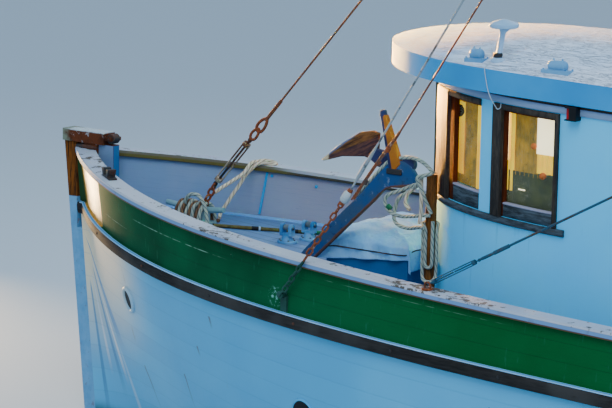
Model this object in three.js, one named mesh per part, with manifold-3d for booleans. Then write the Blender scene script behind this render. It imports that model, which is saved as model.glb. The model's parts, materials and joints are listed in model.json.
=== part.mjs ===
// A small wooden fishing trawler with a rounded wheelhouse, as a standalone three.js model.
// Millimetres, +X to the bow, +Y to port, +Z up; the origin is amidships on the waterline.
import * as THREE from 'three';
import { mergeVertices } from 'three/addons/utils/BufferGeometryUtils.js';
import Module from 'manifold-3d';

const wasm = await Module();
wasm.setup();

// Driving dimensions
const GAP = 0.3;                 // between pieces that touch
const BOW_X = 4800;              // where the rails meet the stem
const LENGTH = 9600;             // rail length, bow to transom
const STERN_X = BOW_X - LENGTH;
const SHEER = { low: 1620, at: 6600, rise: 7.576e-6 };      // rail height over the water
const BULWARK = { height: 335, bowExtra: 55, fade: 5000, thick: 80, capOverhang: 35 };
const CAP = { width: 142, thick: 45 };
const GUARD = { tall: 80, deep: 45 };
const DECK = { thick: 40, crown: 50 };
const STEM = { half: 55, moulded: 112, top: 1985, rake: 0.1, behind: 5 };
const KEEL = { rabbetZ: -720, bottomZ: -1080, half: 52 };
const HOUSE = { noseX: 1553, frontDepth: 1308, half: 863.5, taper: 0.026, length: 2800, wall: 45 };
const ROOF = { noseX: 1993, frontDepth: 1465, half: 887, taper: 0.03, length: 3430, edge: 137, crown: 160 };
const SILL = { z: 2103, slope: 0.029 };
const WINDOW = { tall: 660, frame: 34, proud: 22, sillDrop: 45 };
const SOLE_Z = 940;
const MAST = { x: -1700, top: 7750, r: 75, topR: 50 };
const STAY_Z = 7600;

// Plan curve of the hull: half breadth of the rail's outer edge at a distance s behind the bow
const railHalf = (s) => {
  const bluff = 1157 * (1 - Math.pow(1 - Math.min(s / 4664, 1), 3.66));
  const run = 1 - 0.2 * Math.pow(Math.max(0, s - 5300) / 4300, 2);
  return (66 + bluff + 0.029 * Math.min(s, 5300)) * run;
};
const railZ = (s) => SHEER.low + SHEER.rise * (SHEER.at - s) ** 2;
const bulwarkHigh = (s) => BULWARK.height + BULWARK.bowExtra * Math.pow(Math.max(0, 1 - s / BULWARK.fade), 1.25);
const deckEdgeZ = (s) => railZ(s) - bulwarkHigh(s);
const plankHalf = (s) => Math.max(KEEL.half, railHalf(s) - 73 + 0.02 * Math.min(s, 4000));
const topHalf = (s) => Math.max(KEEL.half, railHalf(s) - BULWARK.capOverhang);
const deckZ = (x, y) => {
  const s = BOW_X - x;
  return deckEdgeZ(s) + DECK.crown * (1 - (y / plankHalf(s)) ** 2);
};

// The stem's raked line and forefoot: how far behind BOW_X it lies at a height
const stemBack = (z) => {
  const q = (railZ(0) - z) / 1000;
  const foot = Math.max(0, -z - 100) / 1000;
  return 1000 * (STEM.rake * q + 1.75 * foot * foot + 0.5 * foot);
};
const bowShift = (s, z) => -stemBack(z) * (1 - Math.min(s / 4700, 1)) ** 2;

// Closed bodies from rings of points
function closedGeometry(points, faces) {
  const geometry = new THREE.BufferGeometry();
  geometry.setAttribute('position', new THREE.Float32BufferAttribute(points.flat(), 3));
  geometry.setIndex(faces.flat());
  return geometry;
}

// Rings of equal length, each in a plane that isn't along X
function loft(rings) {
  const n = rings[0].length;
  const faces = [];
  for (let k = 0; k + 1 < rings.length; k += 1) {
    for (let i = 0; i < n; i += 1) {
      const j = (i + 1) % n;
      const a = k * n + i;
      const b = k * n + j;
      const c = (k + 1) * n + i;
      const d = (k + 1) * n + j;
      faces.push([a, b, d], [a, d, c]);
    }
  }
  const last = (rings.length - 1) * n;
  for (const [ring, offset, flip] of [[rings[0], 0, true], [rings[rings.length - 1], last, false]]) {
    const outline = ring.map(([, y, z]) => new THREE.Vector2(y, z));
    const area = THREE.ShapeUtils.area(outline);
    for (const [a, b, c] of THREE.ShapeUtils.triangulateShape(outline, [])) {
      const turned = (area < 0) !== flip;
      faces.push(turned ? [offset + a, offset + c, offset + b] : [offset + a, offset + b, offset + c]);
    }
  }
  return closedGeometry(rings.flat(), faces);
}

// Solids: joined and cut
function solidOf(geometry) {
  const bare = new THREE.BufferGeometry();
  bare.setAttribute('position', geometry.getAttribute('position').clone());
  if (geometry.index) bare.setIndex(geometry.index.clone());
  const merged = mergeVertices(bare, 1e-3);
  const mesh = new wasm.Mesh({
    numProp: 3,
    vertProperties: new Float32Array(merged.getAttribute('position').array),
    triVerts: new Uint32Array(merged.index.array),
  });
  const solid = new wasm.Manifold(mesh);
  if (solid.volume() >= 0) return solid;
  const index = Array.from(merged.index.array);
  for (let i = 0; i < index.length; i += 3) [index[i], index[i + 1]] = [index[i + 1], index[i]];
  merged.setIndex(index);
  return solidOf(merged);
}

function geometryOf(solid) {
  const mesh = solid.getMesh();
  const geometry = new THREE.BufferGeometry();
  geometry.setAttribute('position', new THREE.BufferAttribute(new Float32Array(mesh.vertProperties), 3));
  geometry.setIndex(new THREE.BufferAttribute(new Uint32Array(mesh.triVerts), 1));
  geometry.computeVertexNormals();
  return geometry;
}

// The biggest of the bodies that a cut leaves
function largest(solid) {
  return solid.decompose().reduce((a, b) => (a.volume() > b.volume() ? a : b));
}

const union = (...solids) => solids.reduce((a, b) => a.add(b));
const shifted = (solid, x, y, z) => solid.translate([x, y, z]);

function mirrored(solid) {
  const geometry = geometryOf(solid).scale(1, -1, 1);
  return solidOf(geometry);
}

// Simple shapes
function box(x0, x1, y0, y1, z0, z1) {
  const geometry = new THREE.BoxGeometry(x1 - x0, y1 - y0, z1 - z0);
  return solidOf(geometry.translate((x0 + x1) / 2, (y0 + y1) / 2, (z0 + z1) / 2));
}

function rod(from, to, radius, sides = 12, endRadius = radius) {
  const a = new THREE.Vector3(...from);
  const b = new THREE.Vector3(...to);
  const along = b.clone().sub(a);
  const geometry = new THREE.CylinderGeometry(endRadius, radius, along.length(), sides);
  const turn = new THREE.Quaternion().setFromUnitVectors(new THREE.Vector3(0, 1, 0), along.clone().normalize());
  geometry.applyQuaternion(turn);
  const middle = a.add(b).multiplyScalar(0.5);
  return solidOf(geometry.translate(middle.x, middle.y, middle.z));
}

// A hole in which a round shaft of this radius turns with a running gap
const bore = (from, to, radius, sides = 16) => rod(from, to, (radius + GAP) / Math.cos(Math.PI / sides), sides);

function tube(points, radius, sides = 8, steps = 24) {
  const path = new THREE.CatmullRomCurve3(points.map((p) => new THREE.Vector3(...p)), false, 'centripetal');
  const section = new THREE.Shape();
  for (let i = 0; i < sides; i += 1) {
    const angle = (2 * Math.PI * i) / sides;
    const x = radius * Math.cos(angle);
    const y = radius * Math.sin(angle);
    if (i === 0) section.moveTo(x, y);
    else section.lineTo(x, y);
  }
  return solidOf(new THREE.ExtrudeGeometry(section, { extrudePath: path, steps, bevelEnabled: false }));
}

function lathe(profile, sides = 24) {
  return solidOf(new THREE.LatheGeometry(profile.map(([r, y]) => new THREE.Vector2(r, y)), sides));
}

// An outline of [x, z] points, as wide as y0 to y1
function plate(outline, y0, y1) {
  const shape = new THREE.Shape(outline.map(([x, z]) => new THREE.Vector2(x, z)));
  const geometry = new THREE.ExtrudeGeometry(shape, { depth: y1 - y0, bevelEnabled: false });
  geometry.applyMatrix4(new THREE.Matrix4().set(1, 0, 0, 0, 0, 0, -1, y1, 0, 1, 0, 0, 0, 0, 0, 1));
  return solidOf(geometry);
}

// A body whose outline is in plan, between two heights
function slab(outline, z0, z1) {
  const shape = new THREE.Shape(outline.map(([x, y]) => new THREE.Vector2(x, y)));
  return solidOf(new THREE.ExtrudeGeometry(shape, { depth: z1 - z0, bevelEnabled: false }).translate(0, 0, z0));
}

// A ring of plan points kept at an offset inboard of a hull curve
function planPoint(half, s, inboard, z) {
  const step = 5;
  const slope = (half(s + step) - half(Math.max(0, s - step))) / (s < step ? s + step : 2 * step);
  const norm = Math.hypot(1, slope);
  const x = BOW_X - s - (inboard * slope) / norm + bowShift(s, z);
  return [x, half(s) - inboard / norm, z];
}

const BOW_STATIONS = [0, 60, 150, 280, 450, 680, 980, 1350, 1800, 2350, 3000, 3800];
const AFT_STATIONS = [4664, 5300, 6200, 7200, 8100, 8900, LENGTH];
const STATIONS = [...BOW_STATIONS, ...AFT_STATIONS];
const portHalf = box(STERN_X - 500, BOW_X + 500, 0.15, 3000, -3000, 9000);

// A long strip round the hull's port side: section rows are [half breadth curve, inboard, height curve]
function strip(section, stations = STATIONS) {
  const rings = stations.map((s) => section.map(([half, inboard, z]) => planPoint(half, s, inboard, z(s))));
  return solidOf(loft(rings)).intersect(portHalf);
}

// Hull sections: [s, bilge out, bilge up, side out, side up] as shares of breadth and depth
const SECTIONS = [
  [0, 1, 0.3, 1, 0.7],
  [150, 0.35, 0.25, 0.55, 0.62],
  [450, 0.22, 0.22, 0.6, 0.6],
  [980, 0.25, 0.16, 0.72, 0.55],
  [1800, 0.42, 0.08, 0.85, 0.48],
  [3000, 0.66, 0.03, 0.96, 0.4],
  [4664, 0.84, 0.02, 1.03, 0.36],
  [7200, 0.8, 0.03, 1.02, 0.4],
  [LENGTH, 0.62, 0.08, 1, 0.5],
];
function sectionAt(s) {
  let k = 0;
  while (k + 2 < SECTIONS.length && SECTIONS[k + 1][0] < s) k += 1;
  const [low, high] = [SECTIONS[k], SECTIONS[k + 1]];
  const t = (s - low[0]) / (high[0] - low[0]);
  return low.map((value, i) => value + (high[i] - value) * t);
}
const rabbetZ = (s) => KEEL.rabbetZ + 570 * Math.pow(Math.max(0, (s - 6000) / (LENGTH - 6000)), 1.8);

function hullRing(s) {
  const [, bilgeOut, bilgeUp, sideOut, sideUp] = sectionAt(s);
  const half = plankHalf(s);
  const [z0, z3] = [rabbetZ(s), deckEdgeZ(s) - DECK.thick];
  const depth = z3 - z0;
  const y = [KEEL.half, Math.max(KEEL.half, half * bilgeOut), Math.max(KEEL.half, half * sideOut), half];
  const z = [z0, z0 + depth * bilgeUp, z0 + depth * sideUp, z3];
  const side = [];
  const steps = 9;
  for (let i = 0; i <= steps; i += 1) {
    const t = i / steps;
    const w = [(1 - t) ** 3, 3 * t * (1 - t) ** 2, 3 * t * t * (1 - t), t ** 3];
    const py = w.reduce((sum, v, k) => sum + v * y[k], 0);
    const pz = w.reduce((sum, v, k) => sum + v * z[k], 0);
    side.push([BOW_X - s + bowShift(s, pz), py, pz]);
  }
  const quarterZ = z3 + DECK.crown * 0.75;
  const top = [[BOW_X - s + bowShift(s, quarterZ), half * 0.5, quarterZ]];
  const crest = [BOW_X - s + bowShift(s, z3), 0, z3 + DECK.crown];
  const keel = [BOW_X - s + bowShift(s, z0), 0, z0];
  return [keel, ...side, ...top, crest];
}

// Deck section rows: [share of the half breadth, height over the hull's top]
const DECK_ROWS = [[0, -6], [0.5, -6], [0.99, -6], [1, DECK.thick], [0.5, DECK.thick], [0, DECK.thick]];
function deckRing(s) {
  return DECK_ROWS.map(([share, up]) => {
    const z = deckEdgeZ(s) - DECK.thick + up + DECK.crown * (1 - share ** 2);
    return [BOW_X - s + bowShift(s, z), plankHalf(s) * share, z];
  });
}

// The wheelhouse's plan: half breadth at a distance behind its nose
const noseHalf = (t, shape) => {
  const u = Math.min(t / shape.frontDepth, 1);
  return shape.half * Math.pow(1 - (1 - u) ** shape.n, 1 / shape.m) + shape.taper * t;
};
const HOUSE_PLAN = { ...HOUSE, n: 1.978, m: 2.212 };
const ROOF_PLAN = { ...ROOF, n: 2.361, m: 1.478 };
const NOSE_STEPS = [0, 0.01, 0.04, 0.1, 0.19, 0.32, 0.48, 0.68, 0.88, 1.0];
function planOutline(shape, inset = 0, end = shape.length) {
  const port = NOSE_STEPS.map((u) => {
    const t = u * shape.frontDepth;
    const step = 2;
    const slope = (noseHalf(t + step, shape) - noseHalf(Math.max(0, t - step), shape)) / (t < step ? t + step : 2 * step);
    const norm = Math.hypot(1, slope);
    return [shape.noseX - t - (inset * slope) / norm, Math.max(0, noseHalf(t, shape) - inset / norm)];
  });
  port[0] = [shape.noseX - inset, 0];
  port.push([shape.noseX - end + inset, noseHalf(end, shape) - inset]);
  const starboard = port.slice(1).map(([x, y]) => [x, -y]).reverse();
  return [...port, ...starboard];
}
const wallPoint = (t) => [HOUSE.noseX - t, noseHalf(t, HOUSE_PLAN)];
const sillZ = (x) => SILL.z - SILL.slope * (HOUSE.noseX - x);
const roofUnderZ = (x) => 2853 - SILL.slope * (ROOF.noseX - x);
const headZ = (x) => roofUnderZ(x) - GAP;

// A prism on a plan outline whose top follows a sloping height
function slopedSlab(outline, bottom, top) {
  const cut = outline.map(([x, y]) => [x, y]);
  const body = slab(cut, 0, 4000);
  const xs = cut.map(([x]) => x);
  const [x0, x1] = [Math.min(...xs) - 10, Math.max(...xs) + 10];
  const keep = plate([[x0, bottom(x0)], [x1, bottom(x1)], [x1, top(x1)], [x0, top(x0)]], -3000, 3000);
  return body.intersect(keep);
}

// Ground that pieces on the deck stand on, and small steps off a neighbour's faces
const bothSides = (half) => half.add(mirrored(half));
const hullSolid = bothSides(solidOf(loft(STATIONS.map(hullRing))));
const deckRaw = bothSides(solidOf(loft(STATIONS.map(deckRing))));
const WELL = { x0: -1130, x1: 1180, half: 760 };
const PIT = { x0: -750, x1: 450, half: 330, bottom: -260 };
const HATCH = { x: -2950, half: 330, wall: 40, tall: 230 };
const FISH_HOLD = { depth: 700 };
const ground = largest(hullSolid.add(deckRaw));

const NUDGES = [[0, 0, 0], [0, 0, GAP], [0, GAP, 0], [0, -GAP, 0]];
const clearOf = (solid, other) => largest(NUDGES.reduce((left, nudge) => left.subtract(other.translate(nudge)), solid));
const standing = (solid) => clearOf(solid, ground);

const materials = {};
function paint(name, color, roughness = 0.6, metalness = 0) {
  if (!materials[name]) materials[name] = new THREE.MeshStandardMaterial({ name, color, roughness, metalness });
  return materials[name];
}

const group = new THREE.Group();
function place(name, solid, material) {
  const mesh = new THREE.Mesh(geometryOf(solid), material);
  mesh.name = name;
  group.add(mesh);
  return solid;
}

const whitePaint = paint('white_hull', 0xa8c8dc, 0.55);
const greenPaint = paint('green_bulwark', 0x00523a, 0.5);
const capPaint = paint('cap_rail', 0xb9bccb, 0.7);
const brownWood = paint('guard_wood', 0x3d2a24, 0.75);
const deckPaint = paint('deck_blue_grey', 0x86a5c0, 0.7);
const stemWood = paint('stem_wood', 0x6b5847, 0.85);
const rustySteel = paint('rusty_steel', 0x7a4526, 0.85, 0.4);
const galvanised = paint('galvanised', 0x9aa3a6, 0.55, 0.7);
const framePaint = paint('window_frame', 0x3f3a3c, 0.6);
const paleBlue = paint('pale_blue_casting', 0x7fb2d8, 0.5);
const boxBlue = paint('skylight_blue', 0x1477b4, 0.5);
const canvas = paint('canvas', 0xc9dbe6, 0.95);
const rope = paint('rope', 0xc3bfb2, 0.95);
const glass = paint('glass', 0x8fa3a6, 0.1);
const blackPaint = paint('black_plastic', 0x101214, 0.5);
const orangePaint = paint('orange_paint', 0xc06a1e, 0.7);
const anchorPaint = paint('anchor_blue_grey', 0x3e5878, 0.6, 0.3);
const machinery = paint('machinery_grey', 0x5c666b, 0.6, 0.3);
const netGreen = paint('net_green', 0x2f6b58, 0.95);
const bronze = paint('bronze', 0x9a7b3a, 0.4, 0.9);
const whiteGear = paint('white_plastic', 0xe4e6e8, 0.45);

// Hull, backbone and deck
const well = box(WELL.x0, WELL.x1, -WELL.half, WELL.half, SOLE_Z, 2500);
const pit = box(PIT.x0, PIT.x1, -PIT.half, PIT.half, PIT.bottom, SOLE_Z + 10);
const hold = box(HATCH.x - HATCH.half, HATCH.x + HATCH.half, -HATCH.half, HATCH.half, deckZ(HATCH.x, 0) - FISH_HOLD.depth, 2500);
// Round openings in the hull's side with raised lips: [x, z, radius, lip width, lip height, depth]
const SIDE_HOLES = [
  [3790, 1060, 68, 24, 16, 46],
  [1821, 735, 88, 12, 6, 40],
];
function hullSide(x, z) {
  const s = BOW_X - x;
  const ring = hullRing(s).slice(1, 11);
  const k = ring.findIndex(([, , height]) => height >= z);
  const [low, high] = [ring[k - 1], ring[k]];
  return low[1] + ((high[1] - low[1]) * (z - low[2])) / (high[2] - low[2]);
}
function sideHole([x, z, r, lip, proud, deep]) {
  const y = hullSide(x, z);
  const slope = (hullSide(x + 60, z) - hullSide(x - 60, z)) / 120;
  const flare = (hullSide(x, z + 60) - hullSide(x, z - 60)) / 120;
  const out = new THREE.Vector3(-slope, 1, -flare).normalize();
  const along = (far) => [x + out.x * far, y + out.y * far, z + out.z * far];
  return { lip: rod(along(-deep - 30), along(proud), r + lip, 14), bore: rod(along(-deep), along(proud + 20), r, 14) };
}
const sideHoles = SIDE_HOLES.map(sideHole);
const sideLips = bothSides(union(...sideHoles.map((hole) => hole.lip)));
const sideBores = bothSides(union(...sideHoles.map((hole) => hole.bore)));
const RUDDER = { x: -4520, stock: 38, top: 120, bottom: -960 };
const stockBore = bore([RUDDER.x, 0, -900], [RUDDER.x, 0, RUDDER.top + 60], RUDDER.stock);
const PINTLE = { r: 18, low: KEEL.bottomZ + 22 };
const pintleBore = bore([RUDDER.x, 0, PINTLE.low - 6], [RUDDER.x, 0, PINTLE.low + 90], PINTLE.r);
const openings = union(well, pit, hold);

function stemFront(z) {
  return BOW_X - stemBack(z) + STEM.moulded;
}
const heelX = -3800;
const backboneOutline = [];
for (const z of [STEM.top, 1500, 900, 300, -100, -350, -600, -820, -1000]) backboneOutline.push([stemFront(z), z]);
backboneOutline.push([2250, KEEL.bottomZ], [-4640, KEEL.bottomZ], [-4640, KEEL.bottomZ + 60], [heelX - 40, KEEL.bottomZ + 90]);
backboneOutline.push([heelX, -700], [heelX - 60, -300], [heelX - 60, 0], [3000, 0], [BOW_X - 100, 1000]);
backboneOutline.push([BOW_X - 90, STEM.top]);
const SHAFT = { z: -680, r: 25, log: 62 };
const shaftLog = rod([-3300, 0, SHAFT.z], [heelX - 110, 0, SHAFT.z], SHAFT.log, 20);
const shaftBore = bore([-3200, 0, SHAFT.z], [heelX - 400, 0, SHAFT.z], SHAFT.r);
const stemRaw = plate(backboneOutline, -STEM.half, STEM.half).add(shaftLog);
const stemBackX = BOW_X - STEM.behind + GAP;
const aboveRail = box(BOW_X - 300, stemBackX, -100, 100, deckEdgeZ(0) - 200, STEM.top + 10);
const backbone = stemRaw
  .subtract(shifted(ground, GAP, 0, -GAP))
  .subtract(shifted(ground, GAP, 0, 0))
  .subtract(aboveRail)
  .subtract(shaftBore)
  .subtract(pintleBore);
place('hull', hullSolid.add(sideLips).subtract(sideBores).subtract(openings).subtract(stockBore), whitePaint);
place('backbone', backbone, stemWood);
const coaming = box(HATCH.x - HATCH.half - HATCH.wall, HATCH.x + HATCH.half + HATCH.wall, -HATCH.half - HATCH.wall,
  HATCH.half + HATCH.wall, deckZ(HATCH.x, 0) - 20, deckZ(HATCH.x, 0) + HATCH.tall);
const overHull = hullSolid.add(shifted(hullSolid, 0, 0, GAP));
place('deck', largest(deckRaw.add(coaming).subtract(overHull).subtract(openings)), deckPaint);

// Bulwarks, cap rails and guards
const bulwarkSection = [
  [plankHalf, 0, (s) => deckEdgeZ(s) + GAP],
  [topHalf, 0, (s) => railZ(s) - CAP.thick - GAP],
  [topHalf, BULWARK.thick, (s) => railZ(s) - CAP.thick - GAP],
  [plankHalf, BULWARK.thick, (s) => deckEdgeZ(s) + GAP],
];
const transomIn = STERN_X + BULWARK.thick;
const foreOfTransom = box(transomIn + GAP, BOW_X + 300, -2000, 2000, -2000, 3000);
const aftOfStem = shifted(backbone, -GAP, 0, 0);
const bulwark = largest(standing(strip(bulwarkSection)).intersect(foreOfTransom).subtract(aftOfStem));
place('bulwark_port', bulwark, greenPaint);
place('bulwark_starboard', mirrored(bulwark), greenPaint);
const transomTop = railZ(LENGTH) - CAP.thick - GAP;
const transomHalf = plankHalf(LENGTH) - 6;
const transomBulwark = standing(box(STERN_X, transomIn, -transomHalf, transomHalf, deckEdgeZ(LENGTH) - 2, transomTop));
place('bulwark_transom', transomBulwark, greenPaint);

const capSection = [
  [railHalf, 0, (s) => railZ(s) - CAP.thick],
  [railHalf, 0, (s) => railZ(s)],
  [railHalf, CAP.width, (s) => railZ(s)],
  [railHalf, CAP.width, (s) => railZ(s) - CAP.thick],
];
const capRail = strip(capSection).intersect(shifted(foreOfTransom, CAP.width - BULWARK.thick, 0, 0));
place('cap_rail_port', capRail, capPaint);
place('cap_rail_starboard', mirrored(capRail), capPaint);
const sternHalf = railHalf(LENGTH) - 2;
const sternCap = box(STERN_X, STERN_X + CAP.width, -sternHalf, sternHalf, railZ(LENGTH) - CAP.thick, railZ(LENGTH));
place('cap_rail_stern', sternCap, capPaint);

const guardSection = [
  [plankHalf, -GUARD.deep, (s) => deckEdgeZ(s) - GUARD.tall],
  [plankHalf, -GUARD.deep, (s) => deckEdgeZ(s) - 4],
  [plankHalf, 30, (s) => deckEdgeZ(s) - 4],
  [plankHalf, 30, (s) => deckEdgeZ(s) - GUARD.tall],
];
const stemClear = box(BOW_X - 300, BOW_X + 400, -STEM.half - GAP, STEM.half + GAP, 0, 3000);
const guardStrip = strip(guardSection).subtract(stemClear);
const guard = clearOf(guardStrip, ground);
place('guard_port', guard, brownWood);
place('guard_starboard', mirrored(guard), brownWood);

// Stem head, bow roller and chock
const HEAD = { x0: 4532, x1: 4925, half: 62, z0: STEM.top + GAP, z1: 2072 };
const ROLLER = { x: 4490, z: 2031, r: 36, half: 34, pin: 9 };
const ARM = { x0: 4464, x1: 4640, y0: 40, y1: 52, half: 13 };
const KNEE = { x0: 4463, x1: 4612, half: 32 };
const rollerAxle = (half, r, make = rod) => make([ROLLER.x, -half, ROLLER.z], [ROLLER.x, half, ROLLER.z], r, 16);
const headRaw = box(HEAD.x0, HEAD.x1, -HEAD.half, HEAD.half, HEAD.z0, HEAD.z1)
  .add(bothSides(box(ARM.x0, ARM.x1, ARM.y0, ARM.y1, ROLLER.z - ARM.half, ROLLER.z + ARM.half)))
  .subtract(rollerAxle(56, ROLLER.pin, bore));
const breastHook = box(KNEE.x1 - 10, 4720, -55, 55, railZ(400), HEAD.z0 + 2);
const knee = box(KNEE.x0, KNEE.x1, -KNEE.half, KNEE.half, 1400, HEAD.z0 + 2);
const bothCaps = capRail.add(mirrored(capRail));
place('stem_head', standing(union(headRaw, breastHook, knee).subtract(shifted(bothCaps, 0, 0, GAP))), stemWood);
place('bow_roller', rollerAxle(ROLLER.half, ROLLER.r).add(rollerAxle(54, ROLLER.pin)), rustySteel);

const CHOCK = { s: 740, long: 190, tall: 70, half: 30 };
function chockOutline() {
  const long = CHOCK.long / 2;
  return [[-long, 0], [long, 0], [long, 14], [long * 0.55, 20], [long * 0.8, CHOCK.tall], [long * 0.35, CHOCK.tall],
    [long * 0.25, 24], [-long * 0.25, 24], [-long * 0.35, CHOCK.tall], [-long * 0.8, CHOCK.tall],
    [-long * 0.55, 20], [-long, 14]];
}
const chockPoint = planPoint(railHalf, CHOCK.s, CAP.width / 2, railZ(CHOCK.s));
const chockTurn = Math.atan2(planPoint(railHalf, CHOCK.s + 90, CAP.width / 2, 0)[1] - chockPoint[1], -90);
const chock = plate(chockOutline(), -CHOCK.half, CHOCK.half)
  .rotate([0, 0, (chockTurn * 180) / Math.PI])
  .translate([chockPoint[0], chockPoint[1], chockPoint[2] - 8])
  .subtract(shifted(capRail, 0, 0, GAP));
place('bow_chock_port', chock, rustySteel);

// Mooring cleat on the foredeck
const CLEAT = { x: 3724, neckR: 62, hornZ: 92, hornR: 18, half: 258, plate: 130 };
const cleatBase = deckZ(CLEAT.x, 0);
const cleat = standing(union(
  box(CLEAT.x - CLEAT.plate, CLEAT.x + CLEAT.plate, -75, 75, cleatBase - 30, cleatBase + 18),
  rod([CLEAT.x - 70, 0, cleatBase], [CLEAT.x - 70, 0, cleatBase + CLEAT.hornZ], CLEAT.neckR * 0.8, 16),
  rod([CLEAT.x + 70, 0, cleatBase], [CLEAT.x + 70, 0, cleatBase + CLEAT.hornZ], CLEAT.neckR * 0.8, 16),
  rod([CLEAT.x, 0, cleatBase + CLEAT.hornZ], [CLEAT.x + CLEAT.half, 0, cleatBase + CLEAT.hornZ + 25], 28, 14, CLEAT.hornR),
  rod([CLEAT.x, 0, cleatBase + CLEAT.hornZ], [CLEAT.x - CLEAT.half, 0, cleatBase + CLEAT.hornZ + 25], 28, 14, CLEAT.hornR),
));
place('mooring_cleat', cleat, galvanised);

// Two-horned roller stands and the pole behind them
const STANDS = [
  { name: 'roller_stand_port', x: 2965, y: -68 },
  { name: 'roller_stand_starboard', x: 2935, y: -274 },
];
function rollerStand({ x, y }) {
  const z = deckZ(x, y);
  return standing(union(
    rod([x, y, z - 20], [x, y, z + 16], 68, 20),
    rod([x, y, z + 8], [x, y, z + 54], 38, 16, 32),
    box(x - 50, x + 50, y - 25, y + 25, z + 46, z + 66),
    box(x - 50, x - 19, y - 25, y + 25, z + 62, z + 132),
    box(x + 19, x + 50, y - 25, y + 25, z + 62, z + 132),
    rod([x - 32, y, z + 104], [x + 32, y, z + 104], 10, 12),
  ));
}
for (const stand of STANDS) place(stand.name, rollerStand(stand), paleBlue);
const POLE = { from: [3560, 10], to: [2950, -503], r: 14, lift: 14 };
const pole = standing(rod(
  [...POLE.from, deckZ(...POLE.from) + POLE.lift], [...POLE.to, deckZ(...POLE.to) + POLE.lift], POLE.r, 12));
place('deck_pole', pole, brownWood);

// Skylight box, its canvas cover and the rope post
const SKY = { x0: 1625, x1: 2270, half: 410, tall: 290 };
const skyZ = deckZ(SKY.x0, 0);
const skylight = standing(box(SKY.x0, SKY.x1, -SKY.half, SKY.half, skyZ - 60, skyZ + SKY.tall));
place('skylight_box', skylight, boxBlue);
const COVER = { over: 26, drop: 120, crown: 95 };
const coverTop = skyZ + SKY.tall;
const coverOuter = [[SKY.x0 - COVER.over, coverTop - COVER.drop], [SKY.x1 + COVER.over, coverTop - COVER.drop],
  [SKY.x1 + COVER.over, coverTop + 20], [SKY.x1 - 120, coverTop + COVER.crown], [SKY.x0 + 120, coverTop + COVER.crown],
  [SKY.x0 - COVER.over, coverTop + 20]];
const cover = plate(coverOuter, -SKY.half - COVER.over, SKY.half + COVER.over)
  .subtract(box(SKY.x0 - 4, SKY.x1 + 4, -SKY.half - 4, SKY.half + 4, 1200, coverTop + 0.3));
place('canvas_cover', cover, canvas);
const POST = { x: 1325, y: 600, r: 34, top: 2222 };
const postFoot = deckZ(POST.x, POST.y) - 20;
place('rope_post', standing(rod([POST.x, POST.y, postFoot], [POST.x, POST.y, POST.top], POST.r, 14)), brownWood);
const HANK = { drop: 445, top: 1967, outer: 58 };
const hankFoot = HANK.top - HANK.drop;
const hank = lathe([[0, hankFoot], [POST.r, hankFoot], [HANK.outer, hankFoot + 30], [HANK.outer, HANK.top - 40],
  [POST.r, HANK.top], [0, HANK.top]], 16)
  .rotate([90, 0, 0]).translate([POST.x, POST.y, 0])
  .subtract(bore([POST.x, POST.y, hankFoot - 10], [POST.x, POST.y, HANK.top + 10], POST.r));
place('rope_hank', hank, rope);

// Anchor that leans between the foredeck and the rope post
const ANCHOR = { foot: [2445, 500], bend: [1760, 500, 2140], crown: [1545, 500, 2225], thick: 34 };
const anchorFoot = [...ANCHOR.foot, deckZ(...ANCHOR.foot) + 24];
function plank(from, to, wide0, wide1, thick) {
  const a = new THREE.Vector3(...from);
  const b = new THREE.Vector3(...to);
  const along = b.clone().sub(a).normalize();
  const side = new THREE.Vector3(0, 1, 0);
  const up = side.clone().cross(along).normalize();
  const corner = (p, w, t) => p.clone().addScaledVector(up, w).addScaledVector(side, t).toArray();
  const ring = (p, w) => [corner(p, -w / 2, -thick / 2), corner(p, w / 2, -thick / 2), corner(p, w / 2, thick / 2),
    corner(p, -w / 2, thick / 2)];
  return solidOf(loft([ring(a, wide0), ring(b, wide1)]));
}
const { bend, crown } = ANCHOR;
const anchor = standing(union(
  plank(anchorFoot, bend, 80, 150, ANCHOR.thick),
  plank(bend, crown, 150, 165, ANCHOR.thick),
  rod([crown[0] + 60, crown[1] - 45, crown[2] - 20], [crown[0] + 60, crown[1] + 45, crown[2] - 20], 48, 14),
  plank([crown[0] + 80, crown[1] - 30, crown[2] + 10], [1870, 440, 2335], 110, 150, 60),
  plank([1850, 440, 2328], [2310, 400, 2185], 165, 30, 28),
  plank([crown[0] + 90, crown[1], crown[2] - 60], [1800, crown[1], 2560], 52, 44, 44),
));
place('anchor', anchor, anchorPaint);

// Wheelhouse walls
const wallOuter = slopedSlab(planOutline(HOUSE_PLAN), () => 1200, headZ);
const wallInner = slopedSlab(planOutline(HOUSE_PLAN, HOUSE.wall), () => 1100, (x) => headZ(x) + 50);
const shell = standing(wallOuter.subtract(wallInner));
const SIDE_X = HOUSE.noseX - HOUSE.frontDepth;
const AFT_X = HOUSE.noseX - HOUSE.length;
// Port windows of the rounded front: [from, to] as distances behind the nose
const FRONT_WINDOWS = [
  [270, 700],
  [826, 1290],
];
const CENTRE_WINDOW = 620;
const SIDE_WINDOW = { x0: -420, x1: -900 };
const AFT_WINDOW = { y0: -640, y1: -160 };
const DOOR = { y0: 60, y1: 680, sill: 70, top: 2700, thick: 40 };
function windowCut(ax, ay, bx, by, grow, reach) {
  const [dx, dy] = [bx - ax, by - ay];
  const long = Math.hypot(dx, dy);
  const [ux, uy] = [dx / long, dy / long];
  const [nx, ny] = [-uy, ux];
  const corner = (along, out) => [ax + ux * along + nx * out, ay + uy * along + ny * out];
  const outline = [corner(-grow, -reach), corner(long + grow, -reach), corner(long + grow, reach), corner(-grow, reach)];
  const mid = (ax + bx) / 2;
  return slopedSlab(outline, () => sillZ(mid) - grow, () => sillZ(mid) + WINDOW.tall + grow);
}
const windowLines = [];
for (const [from, to] of FRONT_WINDOWS) {
  const [[ax, ay], [bx, by]] = [wallPoint(from), wallPoint(to)];
  windowLines.push([ax, ay, bx, by], [ax, -ay, bx, -by]);
}
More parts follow.
